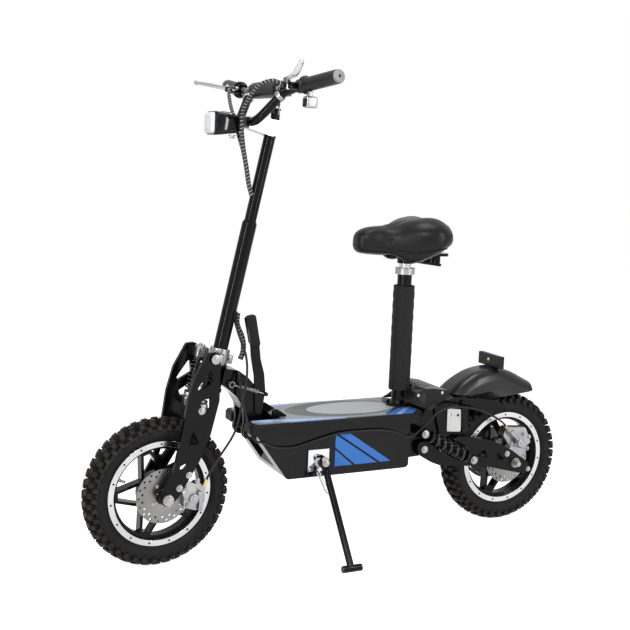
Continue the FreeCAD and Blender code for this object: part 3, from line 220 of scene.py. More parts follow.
def addMath(tree, operation, first, second=0.0):
    node = tree.nodes.new("ShaderNodeMath")
    node.operation = operation
    for value, socket in ((first, node.inputs[0]), (second, node.inputs[1])):
        if isinstance(value, (int, float)):
            socket.default_value = value
        else:
            tree.links.new(value, socket)
    return node.outputs[0]


def addMix(tree, factor, first, second):
    node = tree.nodes.new("ShaderNodeMix")
    node.data_type = "RGBA"
    tree.links.new(factor, node.inputs["Factor"])
    for value, socket in ((first, node.inputs[6]), (second, node.inputs[7])):
        if isinstance(value, float):  # a grey
            socket.default_value = (value, value, value, 1)
        elif isinstance(value, tuple):
            socket.default_value = (*value, 1)
        else:
            tree.links.new(value, socket)
    return node.outputs[2]


def addBump(tree, shader, height, strength, distance):
    bump = tree.nodes.new("ShaderNodeBump")
    bump.inputs["Strength"].default_value = strength
    bump.inputs["Distance"].default_value = distance
    tree.links.new(height, bump.inputs["Height"])
    tree.links.new(bump.outputs["Normal"], shader.inputs["Normal"])


def along(tree, matrix, axis):  # millimetres along one axis of a placed frame, at the point being shaded
    inverse = matrix.inverted()
    dot = tree.nodes.new("ShaderNodeVectorMath")
    dot.operation = "DOT_PRODUCT"
    tree.links.new(objectPoint(tree), dot.inputs[0])
    dot.inputs[1].default_value = inverse[axis][:3]
    return addMath(tree, "ADD", dot.outputs["Value"], inverse[axis][3])


def inside(tree, value, low, high):  # 1 where the value lies between two limits
    return addMath(tree, "MULTIPLY", addMath(tree, "GREATER_THAN", value, low),
                   addMath(tree, "LESS_THAN", value, high))


# A surface whose colour and gloss vary softly, with a fine grain. Paint adds masks with their colours.
def finish(name, color, other, rough, metal=0.0, grain=400, bump=0.15, depth=0.0002, coat=0.0, coatRough=0.1, patch=9,
           specular=0.5, paint=()):
    material, tree, shader = shaderTree(name)
    shader.inputs["Metallic"].default_value = metal
    shader.inputs["Coat Weight"].default_value = coat
    shader.inputs["Coat Roughness"].default_value = coatRough
    shader.inputs["Specular IOR Level"].default_value = specular
    broad = addNoise(tree, patch)
    surface = addMix(tree, addRange(tree, broad, 0, 1), color, other)
    for mask, tint in paint:
        surface = addMix(tree, mask(tree), surface, tint)
    tree.links.new(surface, shader.inputs["Base Color"])
    tree.links.new(addRange(tree, broad, rough[0], rough[1]), shader.inputs["Roughness"])
    addBump(tree, shader, addNoise(tree, grain, 3), bump, depth)
    return material


# A mask: the band of a flat side between two slanted lines, inside limits of (axis, low, high)
def slanted(x, z, slope, low, high, up=2, limits=()):
    def mask(tree):
        run = addMath(tree, "MULTIPLY", addMath(tree, "SUBTRACT", along(tree, upright, 0), x), slope)
        value = addMath(tree, "SUBTRACT", addMath(tree, "SUBTRACT", along(tree, upright, up), z), run)
        total = inside(tree, value, low, high)
        for axis, least, most in limits:
            total = addMath(tree, "MULTIPLY", total, inside(tree, along(tree, upright, axis), least, most))
        return total
    return mask


# A mask: a line round a tyre at a distance from its middle, kept to a span of radii
def ringBand(hub, low, high, outer, inner=0):
    def mask(tree):
        side = addMath(tree, "ABSOLUTE", along(tree, hub, 2))
        across, up = along(tree, hub, 0), along(tree, hub, 1)
        reach = addMath(tree, "SQRT", addMath(tree, "ADD", addMath(tree, "MULTIPLY", across, across),
                                              addMath(tree, "MULTIPLY", up, up)))
        return addMath(tree, "MULTIPLY", inside(tree, side, low, high), inside(tree, reach, inner, outer))
    return mask


# A mask on the deck: an oval ring whose inner edge is a share of the outer one
def oval(x, halfX, halfY, inner):
    def mask(tree):
        run = addMath(tree, "DIVIDE", addMath(tree, "SUBTRACT", along(tree, upright, 0), x), halfX)
        side = addMath(tree, "DIVIDE", along(tree, upright, 1), halfY)
        reach = addMath(tree, "SQRT", addMath(tree, "ADD", addMath(tree, "MULTIPLY", run, run),
                                              addMath(tree, "MULTIPLY", side, side)))
        return inside(tree, reach, inner, 1)
    return mask


blue, paleBlue, charcoal = (0.05, 0.20, 0.62), (0.32, 0.46, 0.80), (0.035, 0.035, 0.037)
boxSide = ((1, 88, 96), (0, 424, 591), (2, 236, 322))  # spans along y, x and z that hold each band
deckFront, deckRear = ((0, 560, 830), (1, 55, 99)), ((0, 330, 440), (1, 40, 99))
boxPaint = ((slanted(550, 323, 0.675, -300, 0, limits=boxSide), blue),
            (slanted(591, 284, 0.84, -3.5, 3.5, limits=boxSide), (0.006, 0.006, 0.007)),
            (slanted(583, 320, 0.675, -3.5, 3.5, limits=boxSide), (0.006, 0.006, 0.007)))
sheetPaint = (
    (oval(520, 176, 84, 0), charcoal), (oval(500, 138, 66, 0), (0.40, 0.41, 0.42)),
    (oval(500, 138, 66, 0.965), 0.02),
    (slanted(800, 60, -0.16, -4, 22, up=1, limits=deckFront), paleBlue),
    (slanted(800, -60, 0.16, -22, 4, up=1, limits=((0, 560, 830), (1, -99, -55))), paleBlue),
    (slanted(380, 60, 0.9, -40, 60, up=1, limits=deckRear), blue),
    (slanted(380, 40, 0.9, -12, 4, up=1, limits=deckRear), charcoal),
    (slanted(380, 78, 0.9, -12, 4, up=1, limits=deckRear), paleBlue),
)

finishes = {
    "black_paint": finish("blackPaint", (0.002, 0.002, 0.0025), (0.005, 0.005, 0.006), (0.10, 0.18), grain=700,
        bump=0.05, specular=0.12),
    "box_black": finish("boxBlack", (0.003, 0.003, 0.004), (0.006, 0.006, 0.007), (0.12, 0.2), grain=600,
        bump=0.06, specular=0.16, paint=boxPaint),
    "gloss_black": finish("glossBlack", (0.003, 0.003, 0.004), (0.006, 0.006, 0.007), (0.06, 0.11), bump=0.04,
        specular=0.18),
    "plastic": finish("mattPlastic", (0.004, 0.004, 0.0045), (0.008, 0.008, 0.009), (0.26, 0.36), grain=900,
        bump=0.15, specular=0.16),
    "rubber": finish("rubber", 0.006, 0.012, (0.40, 0.58), grain=500, bump=0.3, specular=0.12),
    "tyre": finish("tyreBlock", (0.009, 0.0085, 0.008), (0.030, 0.027, 0.024), (0.42, 0.62), grain=600, bump=0.35,
        patch=40, specular=0.12),
    "vinyl": finish("vinyl", 0.005, 0.009, (0.30, 0.40), grain=900, bump=0.45, depth=0.0004, specular=0.16),
    "sheet_grey": finish("footSheet", (0.20, 0.21, 0.22), (0.25, 0.26, 0.27), (0.25, 0.4), grain=500,
        specular=0.3, paint=sheetPaint),
    "grey_paint": finish("greyPaint", (0.05, 0.05, 0.053), (0.08, 0.08, 0.083), (0.3, 0.45), grain=600,
        specular=0.25),
    "polished": finish("polished", (0.36, 0.36, 0.37), 0.48, (0.12, 0.26), metal=1, grain=250, bump=0.1),
    "cast_silver": finish("castSilver", (0.22, 0.22, 0.23), 0.36, (0.24, 0.40), metal=1, grain=420, bump=0.6,
        depth=0.0005),
    "rim_silver": finish("rimSilver", (0.40, 0.40, 0.41), 0.52, (0.18, 0.32), metal=1, grain=300, bump=0.1),
    "steel": finish("zincSteel", (0.26, 0.255, 0.24), (0.38, 0.37, 0.35), (0.25, 0.42), metal=1, grain=400),
    "plate_silver": finish("brushedPlate", (0.34, 0.34, 0.33), (0.44, 0.44, 0.43), (0.26, 0.4), metal=1, grain=400),
    "chrome": finish("chrome", (0.46, 0.47, 0.48), (0.56, 0.57, 0.58), (0.06, 0.14), metal=1, grain=200, bump=0.05),
    "spring_black": finish("springBlack", (0.003, 0.003, 0.004), (0.007, 0.007, 0.008), (0.10, 0.18), specular=0.35),
    "cable": finish("cableSheath", 0.006, 0.011, (0.3, 0.45), grain=600, bump=0.2, specular=0.2),
    "sprocket_grey": finish("sprocketGrey", (0.22, 0.29, 0.32), (0.29, 0.36, 0.39), (0.4, 0.55), grain=500,
        specular=0.3),
    "chain": finish("chainSteel", (0.05, 0.05, 0.052), 0.12, (0.3, 0.5), metal=0.9, grain=400, bump=0.3),
    "lens": finish("lens", (0.78, 0.80, 0.81), (0.86, 0.87, 0.88), (0.10, 0.18), coat=0.4, coatRough=0.03),
    "disc_steel": finish("discSteel", (0.15, 0.148, 0.142), (0.25, 0.245, 0.235), (0.24, 0.38), metal=1,
        grain=300, bump=0.2),
    "fender_black": finish("fenderBlack", (0.004, 0.004, 0.0045), 0.008, (0.22, 0.30), grain=900, bump=0.1,
        specular=0.3),
    "grip_rubber": finish("gripRubber", 0.005, 0.010, (0.24, 0.34), grain=500, bump=0.2, specular=0.25),
    "foam": finish("foamSleeve", 0.006, 0.018, (0.5, 0.7), grain=260, bump=0.9, depth=0.001, patch=160,
        specular=0.15),
    "red_lens": finish("redLens", (0.35, 0.01, 0.01), (0.5, 0.02, 0.02), (0.1, 0.2), coat=0.8, coatRough=0.03),
    "brass": finish("brass", (0.55, 0.36, 0.14), (0.66, 0.45, 0.20), (0.25, 0.4), metal=1),
    "tip_grey": finish("capGrey", (0.24, 0.25, 0.25), (0.32, 0.32, 0.33), (0.35, 0.5), grain=300, bump=0.3),
}


def tyreFinish(name, hub):
    lines = ((ringBand(hub, 16.6, 18.4, 187), (0.005, 0.05, 0.042)),
             (ringBand(hub, 31.0, 32.4, 184, 160), (0.075, 0.008, 0.014)))
    return finish(name, 0.006, 0.013, (0.40, 0.58), grain=500, bump=0.3, patch=18, specular=0.12, paint=lines)


for row in frame["record"]["subparts"]:
    piece = nodes[row["node"]]
    piece.data.materials.clear()
    piece.data.materials.append(finishes[row["material_slot"]])
for name, finer in (("front_disc", "disc_steel"), ("rear_disc", "disc_steel"), ("gooseneck", "plate_silver"),
                    ("seat_collar", "cast_silver")):
    nodes[name].data.materials[0] = finishes[finer]
print("stage: materials")

# Modelling helpers


def pour(bm, part, matrix=Matrix()):  # adds one drawing to another
    part.transform(matrix)
    mesh = bpy.data.meshes.new("part")
    part.to_mesh(mesh)
    part.free()
    bm.from_mesh(mesh)
    bpy.data.meshes.remove(mesh)


# Turns a drawing in millimetres into a piece that rides on a body, and stands in for CAD nodes
def place(name, bm, material, body, matrix=None, smooth=32, stands=()):
    bmesh.ops.recalc_face_normals(bm, faces=bm.faces)
    bm.transform(drawn[body] if matrix is None else matrix)
    mesh = bpy.data.meshes.new(name)
    bm.to_mesh(mesh)
    bm.free()
    mesh.shade_smooth()
    mesh.set_sharp_from_angle(angle=math.radians(smooth))
    mesh.materials.append(finishes[material])
    obj = bpy.data.objects.new(name, mesh)
    bpy.context.scene.collection.objects.link(obj)
    if body:
        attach(obj, body)
    if stands:
        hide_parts(*stands)
    return obj


def addBox(bm, middle, size, bevel=0.0, turn=None, segments=2):
    part = bmesh.new()
    bmesh.ops.create_cube(part, size=1, matrix=Matrix.Diagonal((*size, 1)))
    if bevel:
        bmesh.ops.bevel(part, geom=part.edges[:], offset=bevel, segments=segments, profile=0.5, affect="EDGES",
                        material=-1)
    pour(bm, part, moved(*middle) @ (turn or Matrix()))


def onSide(point, y):  # a point of the side drawing, moved out to y
    return Vector((point[0], y, point[1]))


def facing(start, end):  # a frame at the start whose z runs to the end
    way = (Vector(end) - Vector(start)).to_track_quat("Z", "Y").to_matrix().to_4x4()
    return Matrix.Translation(start) @ way


def addRod(bm, start, end, radius, sides=20, bevel=0.0):
    part = bmesh.new()
    length = (Vector(end) - Vector(start)).length
    bmesh.ops.create_cone(part, cap_ends=True, segments=sides, radius1=radius, radius2=radius, depth=length,
                          matrix=moved(0, 0, length / 2))
    if bevel:
        rims = [e for e in part.edges if e.calc_face_angle(0) > 0.9]
        bmesh.ops.bevel(part, geom=rims, offset=bevel, segments=2, profile=0.5, affect="EDGES", material=-1)
    pour(bm, part, facing(start, end))


def addPin(bm, point, start, end, radius, sides=20, bevel=0.0):  # a rod across the machine, from one y to another
    addRod(bm, onSide(point, start), onSide(point, end), radius, sides, bevel)


def addBall(bm, middle, radius):
    part = bmesh.new()
    bmesh.ops.create_uvsphere(part, u_segments=20, v_segments=12, radius=radius)
    pour(bm, part, moved(*middle))


def addBolt(bm, seat, away, radius, high=4.0):  # a hexagon head with its washer, standing on a face
    seat, away = Vector(seat), Vector(away).normalized()
    addRod(bm, seat - away * 0.3, seat + away * 1.3, radius * 1.45, sides=20, bevel=0.3)
    addRod(bm, seat + away * 0.5, seat + away * (1 + high), radius * 1.1, sides=6, bevel=0.5)
    addRod(bm, seat + away * high, seat + away * (high + 2.2), radius * 0.55, sides=12, bevel=0.4)


def addLathe(bm, profile, steps=48, matrix=Matrix(), closed=False):  # a full spin about z of (radius, height)
    part = bmesh.new()
    line = [part.verts.new((radius, 0, high)) for radius, high in profile]
    pairs = list(zip(line, line[1:])) + ([(line[-1], line[0])] if closed else [])
    edges = [part.edges.new(pair) for pair in pairs]
    bmesh.ops.spin(part, geom=line + edges, cent=(0, 0, 0), axis=(0, 0, 1), dvec=(0, 0, 0), angle=2 * math.pi,
                   steps=steps, use_merge=True)
    bmesh.ops.remove_doubles(part, verts=part.verts[:], dist=0.001)
    pour(bm, part, matrix)


def addRing(bm, radius, wire, matrix):  # a round wire bent into a ring about z
    addLathe(bm, [(radius + wire * math.cos(a), wire * math.sin(a)) for a in [math.pi / 4 * i for i in range(8)]],
             steps=32, matrix=matrix, closed=True)


def addCoil(bm, start, end, radius, wire, turns, sides=10, perTurn=18):  # a round wire wound from end to end
    part = bmesh.new()
    length = (Vector(end) - Vector(start)).length - 2 * wire
    made = bmesh.ops.create_circle(part, segments=sides, radius=wire, matrix=moved(radius, 0, wire) @ turned(90, "X"))
    steps = int(turns * perTurn)
    bmesh.ops.spin(part, geom=made["verts"] + part.edges[:], cent=(0, 0, 0), axis=(0, 0, 1),
                   dvec=(0, 0, length / steps), angle=2 * math.pi * turns, steps=steps, use_merge=False)
    bmesh.ops.holes_fill(part, edges=part.edges[:], sides=sides)
    pour(bm, part, facing(start, end))


def smoothPath(points, steps=8):
    points = [Vector(p) for p in points]
    heads = [points[1] - points[0]] + [b - a for a, b in zip(points, points[2:])] + [points[-1] - points[-2]]
    path = []
    for i, (first, last) in enumerate(zip(points, points[1:])):
        reach = (last - first).length / 3
        part = interpolate_bezier(first, first + heads[i].normalized() * reach,
                                  last - heads[i + 1].normalized() * reach, last, steps + 1)
        path += part if i == 0 else part[1:]
    return path


# A round or flattened bar along a smooth line. Radii are given at the points, the flat side faces across.
def addSweep(bm, points, radii, sides=12, steps=8, flat=1.0, across=(0, 0, 1)):
    wrap = bm.verts.layers.float_vector.get("wrap") or bm.verts.layers.float_vector.new("wrap")
    path = smoothPath(points, steps)
    if isinstance(radii, (int, float)):
        radii = [radii] * len(points)
    sizes = []
    for i in range(len(path)):
        spot = min(i // steps, len(points) - 2)
        sizes.append(radii[spot] + (radii[spot + 1] - radii[spot]) * (i / steps - spot))
    head = (path[1] - path[0]).normalized()
    thin = (Vector(across) - head * head.dot(Vector(across))).normalized()
    way = Matrix((thin.cross(head), thin, head)).transposed().to_4x4() @ Matrix.Diagonal((1, flat, 1, 1))
    ring = bmesh.ops.create_circle(bm, cap_ends=True, segments=sides, radius=radii[0],
                                   matrix=Matrix.Translation(path[0]) @ way)["verts"]
    for i, vert in enumerate(ring):
        vert[wrap] = (math.cos(2 * math.pi * i / sides), math.sin(2 * math.pi * i / sides), 0)
    edges = list({e for v in ring for e in v.link_edges})
    total = 0.0
    for i in range(1, len(path)):
        ahead = (path[min(i + 1, len(path) - 1)] - path[i - 1]).normalized()
        bend = head.rotation_difference(ahead).to_matrix().to_4x4()
        made = bmesh.ops.extrude_edge_only(bm, edges=edges)["geom"]
        verts = [g for g in made if isinstance(g, bmesh.types.BMVert)]
        edges = [g for g in made if isinstance(g, bmesh.types.BMEdge) and all(v in verts for v in g.verts)]
        bmesh.ops.transform(bm, verts=verts, matrix=Matrix.Translation(path[i]) @ bend
                            @ Matrix.Scale(sizes[i] / sizes[i - 1], 4) @ Matrix.Translation(-path[i - 1]))
        total += (path[i] - path[i - 1]).length
        for vert in verts:
            vert[wrap] = (vert[wrap][0], vert[wrap][1], total)
        head = ahead
    bmesh.ops.holes_fill(bm, edges=edges, sides=sides)


def spiralFinish(name, pitch, share=0.80):  # a black sheath with a painted highlight: a pale line wound round it, standing in for light caught on the wrap's ridges
    material, tree, shader = shaderTree(name)
    shader.inputs["Specular IOR Level"].default_value = 0.35
    wrap = tree.nodes.new("ShaderNodeAttribute")
    wrap.attribute_name = "wrap"
    parts = tree.nodes.new("ShaderNodeSeparateXYZ")
    tree.links.new(wrap.outputs["Vector"], parts.inputs[0])
    angle = addMath(tree, "MULTIPLY", parts.outputs["Z"], 2 * math.pi / pitch)
    wave = addMath(tree, "ADD", addMath(tree, "MULTIPLY", parts.outputs["X"], addMath(tree, "COSINE", angle)),
                   addMath(tree, "MULTIPLY", parts.outputs["Y"], addMath(tree, "SINE", angle)))
    # painted highlight: the pale spiral line is light glinting on the ridges of the black wrap, put into the base
    # colour
    paintedHighlight = addMath(tree, "GREATER_THAN", wave, share)
    tree.links.new(addMix(tree, paintedHighlight, 0.010, (0.42, 0.42, 0.41)), shader.inputs["Base Color"])
    tree.links.new(addRange(tree, addNoise(tree, 200), 0.4, 0.6), shader.inputs["Roughness"])
    addBump(tree, shader, wave, 0.4, 0.0006)
    return material


finishes["spiral_sheath_painted_highlight"] = spiralFinish("spiralSheathPaintedHighlight", 9.0)
print("stage: helpers")

# Tyres: a smooth carcass, and six rows of blocks round it

tyreSizes = {
    "count": 42, "taper": 0.9, "bevel": 0.8, "steps": 112,
    "rows": ({"side": 9.5, "reach": 189.8, "tilt": 9, "size": (17, 15.0, 17.5), "phase": 0.0},
        {"side": -9.5, "reach": 189.8, "tilt": -9, "size": (17, 15.0, 17.5), "phase": 0.5},
        {"side": 26.5, "reach": 184.0, "tilt": 32, "size": (16, 14.0, 14.5), "phase": 0.16},
        {"side": -26.5, "reach": 184.0, "tilt": -32, "size": (16, 14.0, 14.5), "phase": 0.34},
        {"side": 37.6, "reach": 173.0, "tilt": 64, "size": (12, 11, 15), "phase": 0.6},
        {"side": -37.6, "reach": 173.0, "tilt": -64, "size": (12, 11, 15), "phase": 0.8}),
    "carcass": ((126.4, 22.6), (136.4, 22.6), (138.4, 27.2), (141.5, 28.6), (143.5, 31.8), (149, 34.4),
        (157, 35.6), (163, 34.6), (167, 31.8), (170, 27), (172.8, 20), (174.6, 11), (175.2, 0))}


def makeTyre(end, hub, turn):
    bm = bmesh.new()
    half = tyreSizes["carcass"]
    addLathe(bm, [*half, *((radius, -high) for radius, high in reversed(half[:-1]))], steps=tyreSizes["steps"],
             closed=True)
    finishes[end + "Rubber"] = tyreFinish(end + "TyreRubber", hub)
    place(end + "Tyre", bm, end + "Rubber", end + "_wheel", smooth=40, stands=(end + "_tyre",))
    bm = bmesh.new()
    step = 360 / tyreSizes["count"]
    for row in tyreSizes["rows"]:
        high, wide, deep = row["size"]
        for i in range(tyreSizes["count"]):
            spot = (turned(turn + step * (i + row["phase"]), "Z") @ moved(row["reach"], 0, row["side"])
                    @ turned(-row["tilt"], "Y") @ moved(-high / 2, 0, 0))
            block = bmesh.ops.create_cube(bm, size=1, matrix=spot @ Matrix.Diagonal((high, wide, deep, 1)))["verts"]
            outer = [v for v in block if (spot.inverted() @ v.co).x > 0]
            middle = sum((v.co for v in outer), Vector()) / 4
            bmesh.ops.scale(bm, vec=[tyreSizes["taper"]] * 3, space=Matrix.Translation(-middle), verts=outer)
    bmesh.ops.bevel(bm, geom=bm.edges[:], offset=tyreSizes["bevel"], segments=1, profile=0.5, affect="EDGES",
                    material=-1)
    place(end + "TreadBlocks", bm, "tyre", end + "_wheel", smooth=30)


makeTyre("front", frontHub, 2)
makeTyre("rear", rearHub, 5)
print("stage: tyres")

# Small parts of the wheels: flange bolts, valve and disc bolts

wheelSizes = {
    "bolts": 15, "boltRing": 128.5, "boltHead": 2.6, "face": 27, "discFace": 45.5, "discBolts": 4, "discRing": 30,
    "hubRing": [(14, 45.4), (20.5, 45.4), (20.5, 50), (18.5, 52), (14, 52)]}
for end, hub, valve in (("front", frontHub, -22), ("rear", rearHub, 200)):
    bm = bmesh.new()
    for i in range(wheelSizes["bolts"]):
        turn = turned(360 / wheelSizes["bolts"] * i + 6, "Z")
        for side in (1, -1):
            spot = turn @ Vector((wheelSizes["boltRing"], 0, side * (wheelSizes["face"] - 0.5)))
            addRod(bm, spot, spot + Vector((0, 0, side * 1.6)), wheelSizes["boltHead"], sides=12, bevel=0.4)
    place(end + "FlangeBolts", bm, "gloss_black", end + "_wheel")
    bm = bmesh.new()
    turn = turned(valve, "Z")
    addRod(bm, turn @ Vector((114, 0, 5)), turn @ Vector((104, 0, 5)), 4.2, sides=16, bevel=0.6)
    addRod(bm, turn @ Vector((105, 0, 5)), turn @ Vector((92, 0, 5)), 3.4, sides=12, bevel=0.5)
    place(end + "Valve", bm, "disc_steel", end + "_wheel")
    bm = bmesh.new()
    for i in range(wheelSizes["discBolts"]):
        spot = turned(90 * i + 30, "Z") @ Vector((wheelSizes["discRing"], 0, wheelSizes["discFace"]))
        addBolt(bm, spot, (0, 0, 1), 4.2, high=3)
    place(end + "DiscBolts", bm, "steel", end + "_wheel")
    bm = bmesh.new()
    addLathe(bm, wheelSizes["hubRing"], steps=40, closed=True)
    place(end + "HubRing", bm, "gloss_black", end + "_wheel")
print("stage: wheel parts")

# Fork: coil springs on rods between the crown and silver knuckles, and zinc bolts

forkSizes = {
    "top": (925, 519), "low": (950, 424), "side": 42, "coil": 12.2, "wire": 2.5, "turns": 8.5, "rod": 5.5,
    "springSeat": 14.5, "knuckle": (24, 35, 25), "bolts": ((993, 247, 6), (1018, 216, 6), (964, 408, 6.5)),
    "boltFace": 74, "cap": (933, 537), "axle": (1049, 191)}
bm, silver = bmesh.new(), bmesh.new()
for side in (1, -1):
    top, low = (onSide(forkSizes[end], side * forkSizes["side"]) for end in ("top", "low"))
    away = (low - top).normalized()
    addCoil(bm, top + away * 6, low - away * 3, forkSizes["coil"], forkSizes["wire"], forkSizes["turns"])
    addRod(bm, top, low, forkSizes["rod"], sides=18)
    addRod(bm, top + away, top + away * 7, forkSizes["springSeat"], sides=28, bevel=1.2)
    addRod(silver, low - away * 5, low + away * 3, 14, sides=28, bevel=1.2)
    addRod(silver, low - away, low + away * 16, 9, sides=24, bevel=1)
    addBox(silver, (954, side * 46, 409), forkSizes["knuckle"], 5, segments=3)
    addRod(silver, (961, side * 30, 410), (961, side * 26, 410), 7, sides=20, bevel=1)
place("forkSprings", bm, "spring_black", "steering", stands=("fork_springs",))
place("springKnuckles", silver, "cast_silver", "steering")

bm = bmesh.new()
for x, z, size in forkSizes["bolts"]:
    for side in (1, -1):
        addBolt(bm, (x, side * forkSizes["boltFace"], z), (0, side, 0), size)
for side in (1, -1):
    addPin(bm, forkSizes["cap"], side * 79.6, side * 82, 12.5, sides=28, bevel=1)
    addPin(bm, forkSizes["cap"], side * 81, side * 82.6, 6, sides=6, bevel=0.3)
    addBolt(bm, onSide(forkSizes["axle"], side * 82.6), (0, side, 0), 9.5, high=5)
place("forkBolts", bm, "steel", "steering")

# Crown: rounded silver ends beside the head, with their clamp bolts, drawn along the stem

crownSizes = {"end": (34, 34, 32), "endPlace": (30, 46, 26), "head": 26, "bolts": (38, -38, 56, -56)}
bm = bmesh.new()
for side in (1, -1):
    addBox(bm, onSide((crownSizes["endPlace"][0], crownSizes["endPlace"][2]), side * crownSizes["endPlace"][1]),
           crownSizes["end"], 6, segments=3)
addRod(bm, (0, 0, 4), (0, 0, 50), crownSizes["head"], sides=40, bevel=2)
addBox(bm, (-27, 0, 26), (18, 26, 22), 3)
place("crownBlocks", bm, "cast_silver", "steering", stemLine, stands=("fork_crown",))
bm = bmesh.new()
for side in (1, -1):
    addBolt(bm, (-26, side * 13, 26), (0, side, 0), 4.5, high=4)
for y in crownSizes["bolts"]:
    addBolt(bm, (30, y, 42), (0, 0, 1), 4.2, high=4)
place("crownBolts", bm, "steel", "steering", stemLine)
print("stage: fork")

# Cushions: the CAD form is remeshed, swelled as cloth under pressure, and kept near its shape


def ease(value, low, high):
    share = max(0.0, min(1.0, (value - low) / (high - low)))
    return share * share * (3 - 2 * share)


def hump(value, middle, width):  # 1 at the middle, falling off softly on both sides
    return math.exp(-((value - middle) / width) ** 2)


# A merged copy of a CAD node's mesh, reshaped point by point in the upright drawing's millimetres
def copied(node, warp):
    source = nodes[node]
    bm = bmesh.new()
    bm.from_mesh(source.data)
    bm.transform(upright.inverted() @ source.matrix_world)
    bmesh.ops.remove_doubles(bm, verts=bm.verts[:], dist=0.02)
    for vert in bm.verts:
        vert.co += warp(vert.co)
    return bm


clothSizes = {"quality": 5, "mass": 0.3, "stiffness": 12, "bending": 0.6, "pressure": 4, "frames": 20, "even": 6}
saddleSizes = {
    "voxel": 0.005, "shrink": 0.975, "cap": 0.006, "fill": 0.85, "pinned": 796, "tail": 0.2, "skirt": 24, "rear": 8,
    "lobe": 7, "hollow": 9, "nose": 5, "post": 372, "seam": 1.3, "seamHigh": 812, "seamDrop": 14,
    "cross": ((276, 20, 835, -0.3, 0.2, 1), (274, 44, 832, -0.3, 0.5, 1), (278, 60, 826, -0.3, 1, 0.7),
        (290, 62, 820, -0.1, 1, 0.35), (304, 60, 814, 0.1, 1, 0.1), (314, 58, 806, 0.1, 1, 0))}
padSizes = {
    "voxel": 0.0045, "shrink": 0.97, "cap": 0.003, "fill": 0.9, "pinned": 76, "line": (779, 1200), "piping": (70, -70)}


# The tail is drawn in, the sides hang lower beside the post, and two lobes stand beside a hollow
def saddleWarp(p):
    skirt = ease(abs(p.y), 22, 62) * (1 - ease(p.z, 800, 850)) * hump(p.x, saddleSizes["post"], 55)
    rear = (1 - ease(p.x, 250, 300)) * (1 - ease(p.z, 800, 840))
    lobes = ease(p.z, 825, 862) * hump(p.x, 290, 62) * (saddleSizes["lobe"] * hump(abs(p.y), 55, 26)
                                                        - saddleSizes["hollow"] * hump(p.y, 0, 20))
    nose = ease(p.x, 420, 480) * ease(p.z, 805, 835)
    return Vector((max(0.0, 330 - p.x) * saddleSizes["tail"], 0, -saddleSizes["skirt"] * skirt
                   + saddleSizes["rear"] * rear + lobes + saddleSizes["nose"] * nose))


def cushion(name, node, body, sizes, pinned, warp):
    bm = copied(node, warp)
    bm.transform(upright)
    middle = sum((v.co for v in bm.verts), Vector()) / len(bm.verts)
    bmesh.ops.scale(bm, vec=[sizes["shrink"]] * 3, space=Matrix.Translation(-middle), verts=bm.verts[:])
    mesh = bpy.data.meshes.new(name + "Start")
    bm.to_mesh(mesh)
    bm.free()
    work = bpy.data.objects.new(name + "Start", mesh)
    bpy.context.scene.collection.objects.link(work)
    remesh = work.modifiers.new("voxels", "REMESH")
    remesh.mode = "VOXEL"
    remesh.voxel_size = sizes["voxel"]
    smoothing = work.modifiers.new("even", "SMOOTH")
    smoothing.factor, smoothing.iterations = 0.5, clothSizes["even"]
    graph = bpy.context.evaluated_depsgraph_get()
    start = bpy.data.meshes.new_from_object(work.evaluated_get(graph))
    work.modifiers.clear()
    work.data = start
    rest = [v.co.copy() for v in start.vertices]
    group = work.vertex_groups.new(name="pinned")
    inverse = drawn[body].inverted()
    group.add([i for i, co in enumerate(rest) if pinned(inverse @ co)], 1, "ADD")
    cloth = work.modifiers.new("cloth", "CLOTH")
    cloth.settings.quality = clothSizes["quality"]
    cloth.settings.mass = clothSizes["mass"]
    cloth.settings.tension_stiffness = cloth.settings.compression_stiffness = clothSizes["stiffness"]
    cloth.settings.bending_stiffness = clothSizes["bending"]
    cloth.settings.use_pressure = True
    cloth.settings.uniform_pressure_force = clothSizes["pressure"]
    cloth.settings.vertex_group_mass = "pinned"
    cloth.settings.effector_weights.gravity = 0
    cloth.point_cache.frame_start, cloth.point_cache.frame_end = 1, clothSizes["frames"]
    for step in range(1, clothSizes["frames"] + 1):
        bpy.context.scene.frame_set(step)
    graph = bpy.context.evaluated_depsgraph_get()
    swelled = bpy.data.meshes.new_from_object(work.evaluated_get(graph))
    for vert, co in zip(start.vertices, rest):
        step = swelled.vertices[vert.index].co - co
        vert.co = co + step * min(1, sizes["cap"] / max(step.length, 1e-9))
    work.modifiers.clear()
    work.vertex_groups.clear()
    bpy.data.meshes.remove(swelled)
    bpy.context.scene.frame_set(1)
    start.name = name
    start.shade_smooth()
    start.materials.clear()
    start.materials.append(finishes["vinyl"])
    work.name = name
    finer = work.modifiers.new("finer", "SUBSURF")
    finer.levels = finer.render_levels = 1
    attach(work, body)
    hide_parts(node)
    return work


# The point of a piece that is first met on the way in from outside, in millimetres
def onSurface(obj, matrix, origin, away):
    way = matrix.to_3x3() @ Vector(away).normalized()
    way.normalize()
    start = matrix @ Vector(origin) + way * 0.4
    met, spot = obj.ray_cast(start, -way)[:2]
    return matrix.inverted() @ spot if met else Vector(origin)


saddle = cushion("saddlePad", "saddle", "seat", saddleSizes, lambda p: p.z < saddleSizes["pinned"], saddleWarp)
bpy.context.view_layer.update()
bm = bmesh.new()
edge = []
for i in range(49):
    angle = 2 * math.pi * i / 48
    spot = onSurface(saddle, upright, (330 + 20 * math.cos(angle), 0, saddleSizes["seamHigh"]),
                     (math.cos(angle), math.sin(angle) * 0.75, 0))
    spot.z -= saddleSizes["seamDrop"] * hump(spot.x, saddleSizes["post"], 55)
    edge.append(spot)
addSweep(bm, edge, saddleSizes["seam"], sides=8, steps=4)
for side in (1, -1):
    addSweep(bm, [onSurface(saddle, upright, (x, side * y, z), (dx, side * dy, dz))
                  for x, y, z, dx, dy, dz in saddleSizes["cross"]], saddleSizes["seam"], sides=8, steps=5)
place("saddleSeams", bm, "rubber", "seat")

